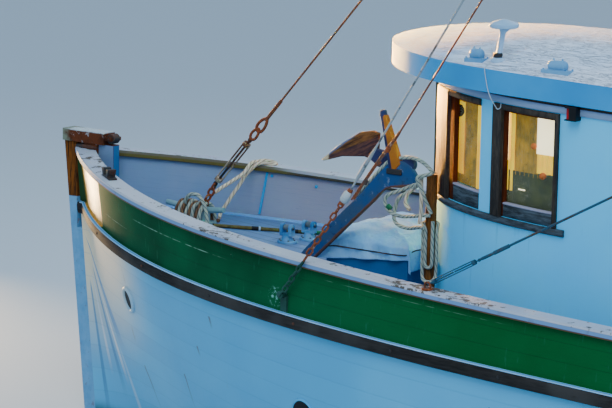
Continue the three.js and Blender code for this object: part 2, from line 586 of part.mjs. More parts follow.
windowLines.push([HOUSE.noseX - 60, CENTRE_WINDOW / 2, HOUSE.noseX - 60, -CENTRE_WINDOW / 2]);
for (const side of [1, -1]) {
  const y = side * (HOUSE.half + HOUSE.taper * 2200);
  windowLines.push([SIDE_WINDOW.x0, y, SIDE_WINDOW.x1, y]);
}
const windowHoles = union(...windowLines.map((line) => windowCut(...line, 0, 140)));
const aftHoles = union(
  box(AFT_X - 100, AFT_X + 100, AFT_WINDOW.y0, AFT_WINDOW.y1, sillZ(AFT_X), sillZ(AFT_X) + WINDOW.tall * 0.8),
  box(AFT_X - 100, AFT_X + 100, DOOR.y0, DOOR.y1, deckZ(AFT_X, 400) + DOOR.sill, DOOR.top),
);
const houseCut = shell.subtract(windowHoles).subtract(aftHoles);
const doorFoot = deckZ(AFT_X, 400) + DOOR.sill + 6;
const doorAxis = [AFT_X - DOOR.thick - 6, DOOR.y1 + 8];
const KNUCKLE = { r: 11, long: 90, fixed: 46 };
const leafKnuckle = (z) => rod([...doorAxis, z], [...doorAxis, z + KNUCKLE.long], KNUCKLE.r, 12);
const hingeZs = [doorFoot + 120, DOOR.top - 190];
const wallKnuckle = (z) => union(
  rod([...doorAxis, z + KNUCKLE.long + GAP], [...doorAxis, z + KNUCKLE.long + GAP + KNUCKLE.fixed], KNUCKLE.r, 12),
  box(doorAxis[0], AFT_X + 8, doorAxis[1], doorAxis[1] + 16, z + KNUCKLE.long + 2, z + KNUCKLE.long + KNUCKLE.fixed - 2),
);
const farBox = (x0, x1, y0, y1) => box(x0, x1, y0, y1, -500, 5000);
place('house_front', houseCut.intersect(farBox(SIDE_X + GAP, 3000, -2000, 2000)), whitePaint);
const sideCut = farBox(AFT_X + HOUSE.wall + GAP, SIDE_X, 0, 2000);
place('house_side_port', houseCut.intersect(sideCut), whitePaint);
place('house_side_starboard', houseCut.intersect(farBox(AFT_X + HOUSE.wall + GAP, SIDE_X, -2000, 0)), whitePaint);
const aftWall = houseCut.intersect(farBox(AFT_X - 100, AFT_X + HOUSE.wall, -2000, 2000));
place('house_aft', union(aftWall, ...hingeZs.map(wallKnuckle)), whitePaint);

// Window frames and the sill moulding that joins them
const outerBand = slopedSlab(planOutline(HOUSE_PLAN, -WINDOW.proud), () => 1200, (x) => headZ(x));
const bandOnly = outerBand.subtract(slopedSlab(planOutline(HOUSE_PLAN, -GAP), () => 1100, (x) => headZ(x) + 50));
const frontBox = farBox(SIDE_X - 60, 3000, -2000, 2000);
const sillMoulding = bandOnly.intersect(frontBox)
  .intersect(plate([[-3000, sillZ(-3000) - WINDOW.sillDrop], [3000, sillZ(3000) - WINDOW.sillDrop], [3000, sillZ(3000)],
    [-3000, sillZ(-3000)]], -2000, 2000));
const frontLines = windowLines.slice(0, FRONT_WINDOWS.length * 2 + 1);
const framesOuter = union(...frontLines.map((line) => windowCut(...line, WINDOW.frame, 140)));
const frontFrames = bandOnly.intersect(framesOuter).subtract(windowHoles).add(sillMoulding);
place('window_frames', frontFrames, framePaint);

// Glazing: one bent strip behind the front and side windows
const glassOuter = slopedSlab(planOutline(HOUSE_PLAN, HOUSE.wall + GAP), (x) => sillZ(x) - 25, (x) => sillZ(x) + WINDOW.tall + 25);
const glassInner = slopedSlab(planOutline(HOUSE_PLAN, HOUSE.wall + GAP + 8), () => 1500, () => 3400);
const glassBand = glassOuter.subtract(glassInner);
place('glazing', glassBand.intersect(farBox(SIDE_WINDOW.x1 - 25, 3000, -2000, 2000)), glass);

// Door in the aft wall, hinged at its outboard edge
const doorLeaf = box(AFT_X - DOOR.thick - 6, AFT_X - 6, DOOR.y0 - 20, DOOR.y1 + 4, doorFoot, DOOR.top + 12)
  .subtract(box(AFT_X - 100, AFT_X + 100, DOOR.y0 + 130, DOOR.y1 - 130, 2080, 2480));
const knuckleRoom = (z) => rod([...doorAxis, z + KNUCKLE.long], [...doorAxis, z + KNUCKLE.long + KNUCKLE.fixed + 6], KNUCKLE.r + 6, 12);
const notchedLeaf = doorLeaf.subtract(union(...hingeZs.map(knuckleRoom)));
place('wheelhouse_door', union(notchedLeaf, ...hingeZs.map(leafKnuckle)), framePaint);

// Roof with its thick rounded edge
const roofTopZ = (x) => roofUnderZ(x) + ROOF.edge;
function roofRing(t) {
  const half = Math.max(2, noseHalf(t, ROOF_PLAN));
  const x = ROOF.noseX - t;
  const crownHere = ROOF.crown * (half / ROOF.half) ** 1.2;
  const up = (share) => [x, half * share, roofTopZ(x) + crownHere * (1 - share ** 2)];
  return [[x, -half, roofUnderZ(x)], [x, 0, roofUnderZ(x)], [x, half, roofUnderZ(x)], up(1), up(0.7), up(0.35), up(0),
    up(-0.35), up(-0.7), up(-1)];
}
const roofStations = [0, 0.008, 0.03, 0.075, 0.15, 0.26, 0.4, 0.58, 0.8, 1].map((u) => u * ROOF.frontDepth);
roofStations.push(2400, ROOF.length);
const roof = solidOf(loft(roofStations.map(roofRing)));
const onRoof = (solid) => solid.subtract(shifted(roof, 0, 0, GAP));

// On the roof: a mushroom aerial and two capsule fittings
const AERIAL = { x: 745, y: 798, post: 17, cap: 88, tall: 250, lean: 36 };
const roofAt = (x, y) => roofTopZ(x) + ROOF.crown * (1 - (y / noseHalf(ROOF.noseX - x, ROOF_PLAN)) ** 2);
const aerialZ = roofAt(AERIAL.x, AERIAL.y);
const aerialCap = lathe([[0, 0], [30, 0], [AERIAL.cap, 14], [AERIAL.cap - 4, 34], [50, 50], [0, 56]], 24)
  .rotate([90, 0, 0]).translate([AERIAL.x - AERIAL.lean, AERIAL.y, aerialZ + AERIAL.tall - 60]);
const aerial = onRoof(union(
  aerialCap,
  rod([AERIAL.x, AERIAL.y, aerialZ - 20], [AERIAL.x - AERIAL.lean, AERIAL.y, aerialZ + AERIAL.tall - 55], AERIAL.post, 14),
  rod([AERIAL.x, AERIAL.y, aerialZ - 20], [AERIAL.x, AERIAL.y, aerialZ + 16], 42, 18),
));
place('mushroom_aerial', aerial, whiteGear);
function roofVent(x, y, share) {
  const z = roofAt(x, y);
  const long = 92 * share;
  return union(
    box(x - long, x + long, y - 40, y + 40, z - 25, z + 10),
    rod([x - long * 0.7, y, z + 34], [x + long * 0.7, y, z + 34], 32, 14),
    box(x - long * 0.7, x + long * 0.7, y - 28, y + 28, z, z + 34),
  );
}
const VENTS = [[300, 845, 1], [880, 815, 0.7]];
place('wheelhouse_roof', union(roof, ...VENTS.map((vent) => roofVent(...vent))), capPaint);
const STACK = { x: -900, y: -480, r: 55, tall: 760 };
const stackZ = roofAt(STACK.x, STACK.y);
const exhaust = onRoof(union(
  rod([STACK.x, STACK.y, stackZ - 30], [STACK.x, STACK.y, stackZ + STACK.tall], STACK.r, 18),
  rod([STACK.x, STACK.y, stackZ - 30], [STACK.x, STACK.y, stackZ + 25], STACK.r + 40, 18),
));
place('exhaust_stack', exhaust, rustySteel);

// Sidelights on the house sides
const LIGHT = { x: 138, z: 2752, long: 78, tall: 82, deep: 62 };
const lightWall = noseHalf(HOUSE.noseX - LIGHT.x, HOUSE_PLAN);
const sidelight = box(LIGHT.x - LIGHT.long / 2, LIGHT.x + LIGHT.long / 2, lightWall - 20, lightWall + LIGHT.deep,
  LIGHT.z - LIGHT.tall / 2, LIGHT.z + LIGHT.tall / 2)
  .subtract(slopedSlab(planOutline(HOUSE_PLAN, -GAP), () => 1100, () => 3400));
place('sidelight_port', sidelight, blackPaint);
place('sidelight_starboard', mirrored(sidelight), blackPaint);

// Inside: sole, engine and its box, console and helm
const soleSlab = box(WELL.x0 + GAP, WELL.x1 - GAP, -WELL.half + GAP, WELL.half - GAP, SOLE_Z + GAP, SOLE_Z + 28)
  .subtract(box(PIT.x0, PIT.x1, -PIT.half, PIT.half, SOLE_Z - 5, SOLE_Z + 60));
place('wheelhouse_sole', soleSlab, brownWood);
const engine = union(
  box(PIT.x0 + 60, PIT.x1 - 60, -250, 250, PIT.bottom + 140, PIT.bottom + 620),
  box(PIT.x0 + 160, PIT.x1 - 160, -200, 200, PIT.bottom + 600, PIT.bottom + 960),
  box(PIT.x0 + 120, PIT.x1 - 200, -310, 310, PIT.bottom + GAP, PIT.bottom + 150),
);
place('engine_block', engine, machinery);
const cover0 = box(PIT.x0 - 20, PIT.x1 + 20, -PIT.half - 20, PIT.half + 20, SOLE_Z + 28 + GAP, SOLE_Z + 420)
  .subtract(box(PIT.x0 + 8, PIT.x1 - 8, -PIT.half + 8, PIT.half - 8, SOLE_Z, SOLE_Z + 395));
place('engine_cover', cover0, framePaint);
const CONSOLE = { x0: 900, x1: 1140, half: 560, top: 1950 };
const consoleBody = box(CONSOLE.x0, CONSOLE.x1, -CONSOLE.half, CONSOLE.half, SOLE_Z + 28 + GAP, CONSOLE.top);
const HELM = { x: 850, y: 0, z: 1790, r: 260, shaft: 15 };
const helmBore = bore([HELM.x - 10, HELM.y, HELM.z], [CONSOLE.x0 + 90, HELM.y, HELM.z], HELM.shaft);
place('console', consoleBody.subtract(helmBore), brownWood);
const rim = lathe([[HELM.r - 15, -15], [HELM.r + 15, -15], [HELM.r + 15, 15], [HELM.r - 15, 15], [HELM.r - 15, -15]], 18)
  .rotate([0, 0, 90]).translate([HELM.x, HELM.y, HELM.z]);
const spokes = [];
for (let i = 0; i < 6; i += 1) {
  const a = (Math.PI * i) / 3;
  const r = HELM.r + 95;
  const [dy, dz] = [Math.cos(a), Math.sin(a)];
  spokes.push(rod([HELM.x, HELM.y, HELM.z], [HELM.x, HELM.y + r * dy, HELM.z + r * dz], 13, 6));
}
const helm = union(rim, ...spokes, rod([HELM.x - 40, HELM.y, HELM.z], [CONSOLE.x0 + 80, HELM.y, HELM.z], HELM.shaft, 16),
  rod([HELM.x - 30, HELM.y, HELM.z], [HELM.x + 25, HELM.y, HELM.z], 48, 16));
place('helm_wheel', helm, brownWood);

// Mast, crosstree and boom
const CROSS = { z: 7350, half: 1000 };
const mastFoot = deckZ(MAST.x, 0);
const BOOM = { pivot: MAST.x - 190, z: 3260, tip: [-3690, 0, 4480], r: 52, pin: 20 };
const SWIVEL_R = 10;
const boomPin = (make) => make([BOOM.pivot, 0, 3150], [BOOM.pivot, 0, 3200], BOOM.pin, 16);
const swivelPin = (make) => make([BOOM.pivot, 0, STAY_Z - 70], [BOOM.pivot, 0, STAY_Z - 25], SWIVEL_R, 16);
const mast = standing(union(
  rod([MAST.x, 0, mastFoot - 30], [MAST.x, 0, MAST.top], MAST.r, 20, MAST.topR),
  box(MAST.x - 160, MAST.x + 160, -160, 160, mastFoot - 60, mastFoot + 40),
  rod([MAST.x, -CROSS.half, CROSS.z], [MAST.x, CROSS.half, CROSS.z], 38, 12),
  box(MAST.x - 250, MAST.x - 40, -60, 60, 3140, 3190),
  box(MAST.x - 225, MAST.x - 30, -30, 30, STAY_Z - 60, STAY_Z - 10),
)).subtract(boomPin(bore)).subtract(swivelPin(bore));
place('mast', mast, orangePaint);
const boomHeel = [BOOM.pivot, 0, BOOM.z];
const boom = union(
  rod(boomHeel, BOOM.tip, BOOM.r, 16, 40),
  rod([BOOM.pivot, 0, 3195], [BOOM.pivot, 0, BOOM.z + 70], 60, 16),
  boomPin(rod),
  rod([BOOM.tip[0] + 60, 0, BOOM.tip[2] - 230], [BOOM.tip[0] + 60, 0, BOOM.tip[2]], 30, 12),
  rod([BOOM.tip[0] + 60, -30, BOOM.tip[2] - 260], [BOOM.tip[0] + 60, 30, BOOM.tip[2] - 260], 75, 18),
);
place('boom', boom, orangePaint);

// Main stays, each from its chain or turnbuckle to the mast
function chain(from, to, pitch, wire) {
  const a = new THREE.Vector3(...from);
  const b = new THREE.Vector3(...to);
  const count = Math.max(2, Math.round(a.distanceTo(b) / pitch));
  const step = a.distanceTo(b) / count;
  const along = b.clone().sub(a).normalize();
  const frameX = new THREE.Vector3(0, 1, 0).cross(along).normalize();
  const frameY = along.clone().cross(frameX);
  const shape = new THREE.Shape();
  const hole = new THREE.Path();
  const [w, l] = [wire * 1.7, step / 2 + wire * 0.62];
  const stadium = (path, hw, hl) => {
    path.moveTo(-hw, -hl + hw);
    for (const [x, y] of [[0, -hl], [hw, -hl + hw], [hw, hl - hw], [0, hl], [-hw, hl - hw]]) path.lineTo(x, y);
  };
  stadium(shape, w, l);
  stadium(hole, w - wire, l - wire);
  shape.holes.push(hole);
  const links = [];
  for (let i = 0; i < count; i += 1) {
    const link = new THREE.ExtrudeGeometry(shape, { depth: wire, bevelEnabled: false, curveSegments: 1 });
    link.translate(0, 0, -wire / 2);
    const middle = a.clone().addScaledVector(along, step * (i + 0.5));
    const [u, v] = i % 2 ? [frameX, frameY] : [frameY, frameX.clone().negate()];
    link.applyMatrix4(new THREE.Matrix4().makeBasis(u, along, u.clone().cross(along)).setPosition(middle));
    links.push(solidOf(link));
  }
  return union(...links);
}
function turnbuckle(from, to, r) {
  const mix = (t) => from.map((v, i) => v + (to[i] - v) * t);
  return union(rod(from, to, r * 0.5, 8), rod(mix(0.22), mix(0.78), r, 8));
}
const mixPoint = (from, to, t) => from.map((v, i) => v + (to[i] - v) * t);
const STAY_R = 7;
const foreFoot = [CLEAT.x - 84, 0, cleatBase + 190];
const foreHead = [MAST.x + 70, 0, STAY_Z];
const forestay = union(
  chain([CLEAT.x - 30, 0, cleatBase + 132], mixPoint(foreFoot, foreHead, 0.02), 50, 13),
  turnbuckle(mixPoint(foreFoot, foreHead, 0.018), mixPoint(foreFoot, foreHead, 0.076), 20),
  rod(mixPoint(foreFoot, foreHead, 0.068), foreHead, STAY_R, 8),
).subtract(shifted(mast, GAP, 0, 0)).subtract(shifted(cleat, 0, 0, GAP));
place('forestay', forestay, rustySteel);

const PLATE = { x: 1955, z: 1455, edgeX: 1760 };
const plateY = (x) => railHalf(BOW_X - x) + 24;
const shroudFoot = [PLATE.x, plateY(PLATE.x), PLATE.z + 60];
const railEdge = [PLATE.edgeX, plateY(PLATE.edgeX), railZ(BOW_X - PLATE.edgeX) + 10];
const shroudHead = [MAST.x + 30, 62, STAY_Z - 60];
const crossHead = [MAST.x, CROSS.half - 30, CROSS.z];
const chainTop = mixPoint(railEdge, shroudHead, 0.075);
const outerFace = union(guard, capRail, bulwark, hullSolid);
const strapY = plankHalf(BOW_X - PLATE.x);
const shroud = union(
  box(PLATE.x - 26, PLATE.x + 26, strapY - 60, plateY(PLATE.x) + 4, PLATE.z, PLATE.z + 70)
    .subtract(shifted(outerFace, 0, GAP, 0)),
  chain(shroudFoot, railEdge, 66, 13),
  chain(railEdge, chainTop, 66, 13),
  turnbuckle(mixPoint(railEdge, shroudHead, 0.07), mixPoint(railEdge, shroudHead, 0.11), 17),
  rod(mixPoint(railEdge, shroudHead, 0.1), shroudHead, STAY_R, 8),
  rod(chainTop, crossHead, STAY_R, 8),
);
const portShroud = clearOf(clearOf(shroud, outerFace), mast);
place('fore_shroud_port', portShroud, rustySteel);
place('fore_shroud_starboard', mirrored(portShroud), rustySteel);

// Topping lift, which turns with the boom under the masthead bracket
const lift = union(
  rod([BOOM.tip[0] + 40, 0, BOOM.tip[2] + 30], [BOOM.pivot, 0, STAY_Z - 90], STAY_R, 8),
  rod([BOOM.pivot, 0, STAY_Z - 120], [BOOM.pivot, 0, STAY_Z - 66], 22, 12),
  swivelPin(rod),
).subtract(shifted(boom, 0, 0, GAP));
place('topping_lift', lift, rustySteel);

// Winch behind the mast
const WINCH = { x: -2250, half: 440, z: 360, drum: 150, core: 62, long: 200, axle: 28 };
const winchZ = deckZ(WINCH.x, 0);
const axleZ = winchZ + WINCH.z;
const post = (y) => plate([[WINCH.x - 150, winchZ - 40], [WINCH.x + 150, winchZ - 40], [WINCH.x + 60, axleZ + 70],
  [WINCH.x - 60, axleZ + 70]], y - 18, y + 18);
const axleHole = bore([WINCH.x, -600, axleZ], [WINCH.x, 600, axleZ], WINCH.axle);
const winchFrame = standing(union(
  post(-WINCH.half), post(0), post(WINCH.half),
  box(WINCH.x - 190, WINCH.x + 190, -WINCH.half - 30, WINCH.half + 30, winchZ - 60, winchZ + 30),
).subtract(axleHole));
place('winch_frame', winchFrame, machinery);
const drumSpool = (y) => union(
  rod([WINCH.x, y - WINCH.long / 2, axleZ], [WINCH.x, y + WINCH.long / 2, axleZ], WINCH.core + 40, 16),
  rod([WINCH.x, y - WINCH.long / 2 - 10, axleZ], [WINCH.x, y - WINCH.long / 2 + 4, axleZ], WINCH.drum, 18),
  rod([WINCH.x, y + WINCH.long / 2 - 4, axleZ], [WINCH.x, y + WINCH.long / 2 + 10, axleZ], WINCH.drum, 18),
);
const headR = [[0, 0], [70, 0], [50, 40], [50, 90], [76, 130], [0, 130]];
const warpingHead = (y, side) => lathe(headR, 14).rotate([side > 0 ? 0 : 180, 0, 0]).translate([WINCH.x, y, axleZ]);
const winchDrums = union(
  rod([WINCH.x, -WINCH.half - 40, axleZ], [WINCH.x, WINCH.half + 40, axleZ], WINCH.axle, 16),
  drumSpool(-215), drumSpool(215),
  warpingHead(WINCH.half + 26, 1), warpingHead(-WINCH.half - 26, -1),
);
place('winch_drums', winchDrums, rustySteel);

// Hatch lid, hinged on its forward edge
const lidZ = deckZ(HATCH.x, 0) + HATCH.tall;
const lidHalf = HATCH.half + HATCH.wall + 22;
const lidHinge = [HATCH.x + HATCH.half + HATCH.wall + 22 + 14, lidZ + 22];
const lid = union(
  box(HATCH.x - lidHalf, HATCH.x + lidHalf, -lidHalf, lidHalf, lidZ + GAP, lidZ + 44),
  rod([lidHinge[0], -230, lidHinge[1]], [lidHinge[0], -130, lidHinge[1]], 15, 12),
  rod([lidHinge[0], 130, lidHinge[1]], [lidHinge[0], 230, lidHinge[1]], 15, 12),
);
place('hatch_lid', lid, framePaint);

// Stern gallows with the net drum's stands, and the trawl doors that hang from it
const GALLOWS = { x: -4480, y: 915, top: 4770, r: 45 };
const NET = { x: -3900, z: 520, flange: 350, core: 235, half: 600, axle: 34 };
const netZ = deckZ(NET.x, 0) + NET.z;
const legFoot = deckZ(GALLOWS.x, GALLOWS.y) - 20;
const standCheek = (y) => plate([[NET.x - 190, netZ - NET.z - 40], [NET.x + 190, netZ - NET.z - 40], [NET.x + 75, netZ + 80],
  [NET.x - 75, netZ + 80]], y - 17, y + 17).subtract(bore([NET.x, -1500, netZ], [NET.x, 1500, netZ], NET.axle));
const cheekY = NET.half + 75;
const gallowsSide = (side) => union(
  rod([GALLOWS.x, side * GALLOWS.y, legFoot], [GALLOWS.x, side * GALLOWS.y, GALLOWS.top], GALLOWS.r, 14),
  rod([GALLOWS.x, side * GALLOWS.y, netZ + 40], [NET.x - 50, side * cheekY, netZ + 55], 24, 10),
  rod([GALLOWS.x, side * GALLOWS.y, 2640], [-4300, side * 1212, 2640], 26, 10),
  box(GALLOWS.x - 80, GALLOWS.x + 80, side * GALLOWS.y - 80, side * GALLOWS.y + 80, legFoot - 10, legFoot + 45),
  standCheek(side * cheekY),
);
const gallows = standing(union(
  gallowsSide(1), gallowsSide(-1),
  rod([GALLOWS.x, -GALLOWS.y - 60, GALLOWS.top], [GALLOWS.x, GALLOWS.y + 60, GALLOWS.top], 50, 14),
  box(GALLOWS.x - 90, GALLOWS.x + 90, -90, 90, GALLOWS.top, GALLOWS.top + 62),
  rod([GALLOWS.x, 420, GALLOWS.top - 190], [GALLOWS.x, 420, GALLOWS.top], 26, 10),
  rod([GALLOWS.x, -420, GALLOWS.top - 190], [GALLOWS.x, -420, GALLOWS.top], 26, 10),
  rod([GALLOWS.x, 385, GALLOWS.top - 250], [GALLOWS.x, 455, GALLOWS.top - 250], 85, 16),
  rod([GALLOWS.x, -455, GALLOWS.top - 250], [GALLOWS.x, -385, GALLOWS.top - 250], 85, 16),
));
place('stern_gallows', gallows, machinery);
const netDrum = union(
  rod([NET.x, -NET.half, netZ], [NET.x, NET.half, netZ], NET.core, 24),
  rod([NET.x, -NET.half - 14, netZ], [NET.x, -NET.half + 4, netZ], NET.flange, 28),
  rod([NET.x, NET.half - 4, netZ], [NET.x, NET.half + 14, netZ], NET.flange, 28),
  rod([NET.x, -cheekY - 30, netZ], [NET.x, cheekY + 30, netZ], NET.axle, 16),
);
place('net_drum', netDrum, netGreen);
const doorOutline = [[-440, -190], [-330, -330], [330, -330], [440, -190], [440, 190], [330, 330], [-330, 330], [-440, 190]];
const trawlDoor = plate(doorOutline.map(([x, z]) => [x - 4300, z + 2140]), 1190, 1234)
  .add(box(-4330, -4270, 1204, 1220, 2440, 2640 - 26.5));
place('trawl_door_port', trawlDoor, rustySteel);
place('trawl_door_starboard', mirrored(trawlDoor), rustySteel);

// Side stays from the cap rail to the gallows
const eye = [871, railHalf(BOW_X - 871) - 60, railZ(BOW_X - 871)];
const stayHead = [GALLOWS.x + 30, GALLOWS.y, GALLOWS.top - 90];
const sideStay = union(
  rod([eye[0], eye[1], eye[2] - 10], [eye[0], eye[1], eye[2] + 40], 16, 10),
  turnbuckle([eye[0], eye[1], eye[2] + 30], mixPoint([eye[0], eye[1], eye[2] + 30], stayHead, 0.075), 16),
  rod(mixPoint([eye[0], eye[1], eye[2] + 30], stayHead, 0.06), stayHead, STAY_R, 8),
).subtract(shifted(capRail, 0, 0, GAP)).subtract(shifted(gallows, GAP, 0, 0)).subtract(gallows);
place('side_stay_port', sideStay, rustySteel);
place('side_stay_starboard', mirrored(sideStay), rustySteel);

// Propeller and rudder under the counter
const PROP = { x: -4060, r: 250, hub: 52, blades: 3 };
const blade = (turn) => {
  const geometry = new THREE.BoxGeometry(26, 175, PROP.r - 20);
  geometry.translate(0, 0, (PROP.r - 20) / 2 + 20).rotateZ(0.55).rotateX(turn);
  return solidOf(geometry.translate(PROP.x, 0, SHAFT.z));
};
const blades = [];
for (let i = 0; i < PROP.blades; i += 1) blades.push(blade((2 * Math.PI * i) / PROP.blades));
const propeller = union(
  rod([PROP.x - 75, 0, SHAFT.z], [PROP.x + 75, 0, SHAFT.z], PROP.hub, 20),
  rod([-3400, 0, SHAFT.z], [PROP.x, 0, SHAFT.z], SHAFT.r, 16),
  ...blades,
);
place('propeller', propeller, bronze);
const rudder = union(
  rod([RUDDER.x, 0, KEEL.bottomZ + 72], [RUDDER.x, 0, RUDDER.top], RUDDER.stock, 16),
  rod([RUDDER.x, 0, PINTLE.low], [RUDDER.x, 0, KEEL.bottomZ + 90], PINTLE.r, 16),
  plate([[-4425, -940], [-4770, -940], [-4785, -420], [-4760, -310], [-4450, -350]], -24, 24),
);
place('rudder', rudder, machinery);

// Ropes that lie free
const BOW_ROPE = { r: 13, points: [
  [3578, -30, 1750], [3618, -180, 1770], [3660, -340, 1789], [3700, -500, 1815], [3733, -620, 1867], [3756, -730, 1866],
  [3748, -800, 1865], [3695, -816, 1860.5], [3634, -788, 1856], [3632, -730, 1856], [3690, -655, 1865], [3724, -565, 1800],
  [3712, -470, 1734], [3697, -380, 1683], [3687, -300, 1625], [3690, -240, 1570], [3660, -185, 1540]] };
const ropeTube = tube(BOW_ROPE.points, BOW_ROPE.r, 8, 32);
place('bow_rope', clearOf(clearOf(ropeTube, cleat), mirrored(capRail)), rope);
const cordTop = roofAt(755, 880);
const cordEdge = noseHalf(ROOF.noseX - 755, ROOF_PLAN);
const ROOF_CORD = { r: 3, points: [
  [762, 845, roofAt(762, 845) + 2.5], [759, 878, roofAt(759, 878) + 2.5],
  [757, cordEdge - 12, roofAt(757, cordEdge - 12) + 3.5], [753, cordEdge + 4, cordTop - 20],
  [740, cordEdge + 6, cordTop - 80], [722, cordEdge + 8, cordTop - 140],
  [704, cordEdge - 2, cordTop - 190], [690, cordEdge - 30, cordTop - 235]] };
place('roof_cord', onRoof(tube(ROOF_CORD.points, ROOF_CORD.r, 6, 16)), rope);

export default group;
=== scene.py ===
# The looks of a small wooden fishing trawler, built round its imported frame.
# Metres, +X to the bow, +Y to port, z = 0 at the waterline.
import json
import bmesh
import bpy
from math import atan2, copysign, cos, hypot, pi, radians, sin
from mathutils import Matrix, Vector, noise

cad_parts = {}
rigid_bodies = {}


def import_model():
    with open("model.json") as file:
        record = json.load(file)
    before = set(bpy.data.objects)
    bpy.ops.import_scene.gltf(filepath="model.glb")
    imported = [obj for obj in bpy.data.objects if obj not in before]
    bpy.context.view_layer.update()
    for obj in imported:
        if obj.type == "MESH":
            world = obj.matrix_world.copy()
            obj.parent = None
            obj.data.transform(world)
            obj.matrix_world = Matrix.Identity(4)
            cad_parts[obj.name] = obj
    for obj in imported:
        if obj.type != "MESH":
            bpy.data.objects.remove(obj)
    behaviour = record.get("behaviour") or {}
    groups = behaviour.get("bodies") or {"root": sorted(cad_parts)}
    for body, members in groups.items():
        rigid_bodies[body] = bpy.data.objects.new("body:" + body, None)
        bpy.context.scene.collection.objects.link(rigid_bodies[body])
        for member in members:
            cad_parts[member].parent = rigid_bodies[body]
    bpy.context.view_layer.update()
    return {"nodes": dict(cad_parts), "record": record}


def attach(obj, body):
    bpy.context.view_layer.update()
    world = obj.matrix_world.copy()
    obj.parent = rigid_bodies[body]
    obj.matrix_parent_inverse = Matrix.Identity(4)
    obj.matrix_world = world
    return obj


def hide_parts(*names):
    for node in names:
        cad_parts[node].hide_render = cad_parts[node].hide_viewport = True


for leftover in list(bpy.data.objects):
    bpy.data.objects.remove(leftover)
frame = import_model()
nodes = frame["nodes"]
print("frame loaded,", len(nodes), "nodes")

# camera and lights
view = {
    "place": (-7.1409, 12.9019, 4.7356),
    "right": (-0.791365, -0.611091, 0.01758),
    "up": (0.123117, -0.131138, 0.98369),
    "back": (-0.598818, 0.780622, 0.179014),
    "lens": 145.07,
}
cameraData = bpy.data.cameras.new("photoCamera")
cameraData.sensor_width = 36
cameraData.lens = view["lens"]
camera = bpy.data.objects.new("photoCamera", cameraData)
turn = Matrix((view["right"], view["up"], view["back"])).transposed().to_4x4()
camera.matrix_world = Matrix.Translation(view["place"]) @ turn
bpy.context.scene.collection.objects.link(camera)
bpy.context.scene.camera = camera

studio = {
    # name: place, aims at, size, watts, colour, spread in degrees
    "skyPanel": ((-3.0, 9.0, 13.0), (1.0, 0, 1.5), 9.0, 1130, (0.8, 0.9, 1.0), 180),
    "sternPanel": ((-14.0, -2.0, 8.0), (-2.0, 0, 1.5), 7.0, 600, (0.86, 0.93, 1.0), 180),
    "farPanel": ((3.0, -11.0, 8.0), (1.5, 0, 1.5), 7.0, 420, (0.95, 0.97, 1.0), 180),
    "lowWarmPanel": ((9.65, -2.6, 1.05), (4.5, 0.3, 1.5), 1.6, 95, (1.0, 0.66, 0.3), 70),
    "rimPanel": ((9.5, -4.5, 3.6), (1.4, 0.2, 2.75), 0.8, 185, (1.0, 0.45, 0.08), 11),
}
for name, (place, aim, size, watts, colour, spread) in studio.items():
    lamp = bpy.data.lights.new(name, "AREA")
    lamp.size = size
    lamp.energy = watts
    lamp.color = colour
    lamp.spread = radians(spread)
    lampObject = bpy.data.objects.new(name, lamp)
    facing = (Vector(aim) - Vector(place)).to_track_quat("-Z", "Y").to_matrix().to_4x4()
    lampObject.matrix_world = Matrix.Translation(place) @ facing
    bpy.context.scene.collection.objects.link(lampObject)
world = bpy.data.worlds.new("studioAir")
world.use_nodes = True
world.node_tree.nodes["Background"].inputs["Color"].default_value = (0.55, 0.76, 1.0, 1)
world.node_tree.nodes["Background"].inputs["Strength"].default_value = 0.8
bpy.context.scene.world = world


# shader maths: a socket that takes part in sums
class Wire:
    def __init__(self, finish, socket):
        self.finish = finish
        self.socket = socket

    def __add__(self, other):
        return self.finish.math("ADD", self, other)

    def __sub__(self, other):
        return self.finish.math("SUBTRACT", self, other)

    def __rsub__(self, other):
        return self.finish.math("SUBTRACT", other, self)

    def __mul__(self, other):
        return self.finish.math("MULTIPLY", self, other)

    def __truediv__(self, other):
        return self.finish.math("DIVIDE", self, other)

    __radd__ = __add__
    __rmul__ = __mul__


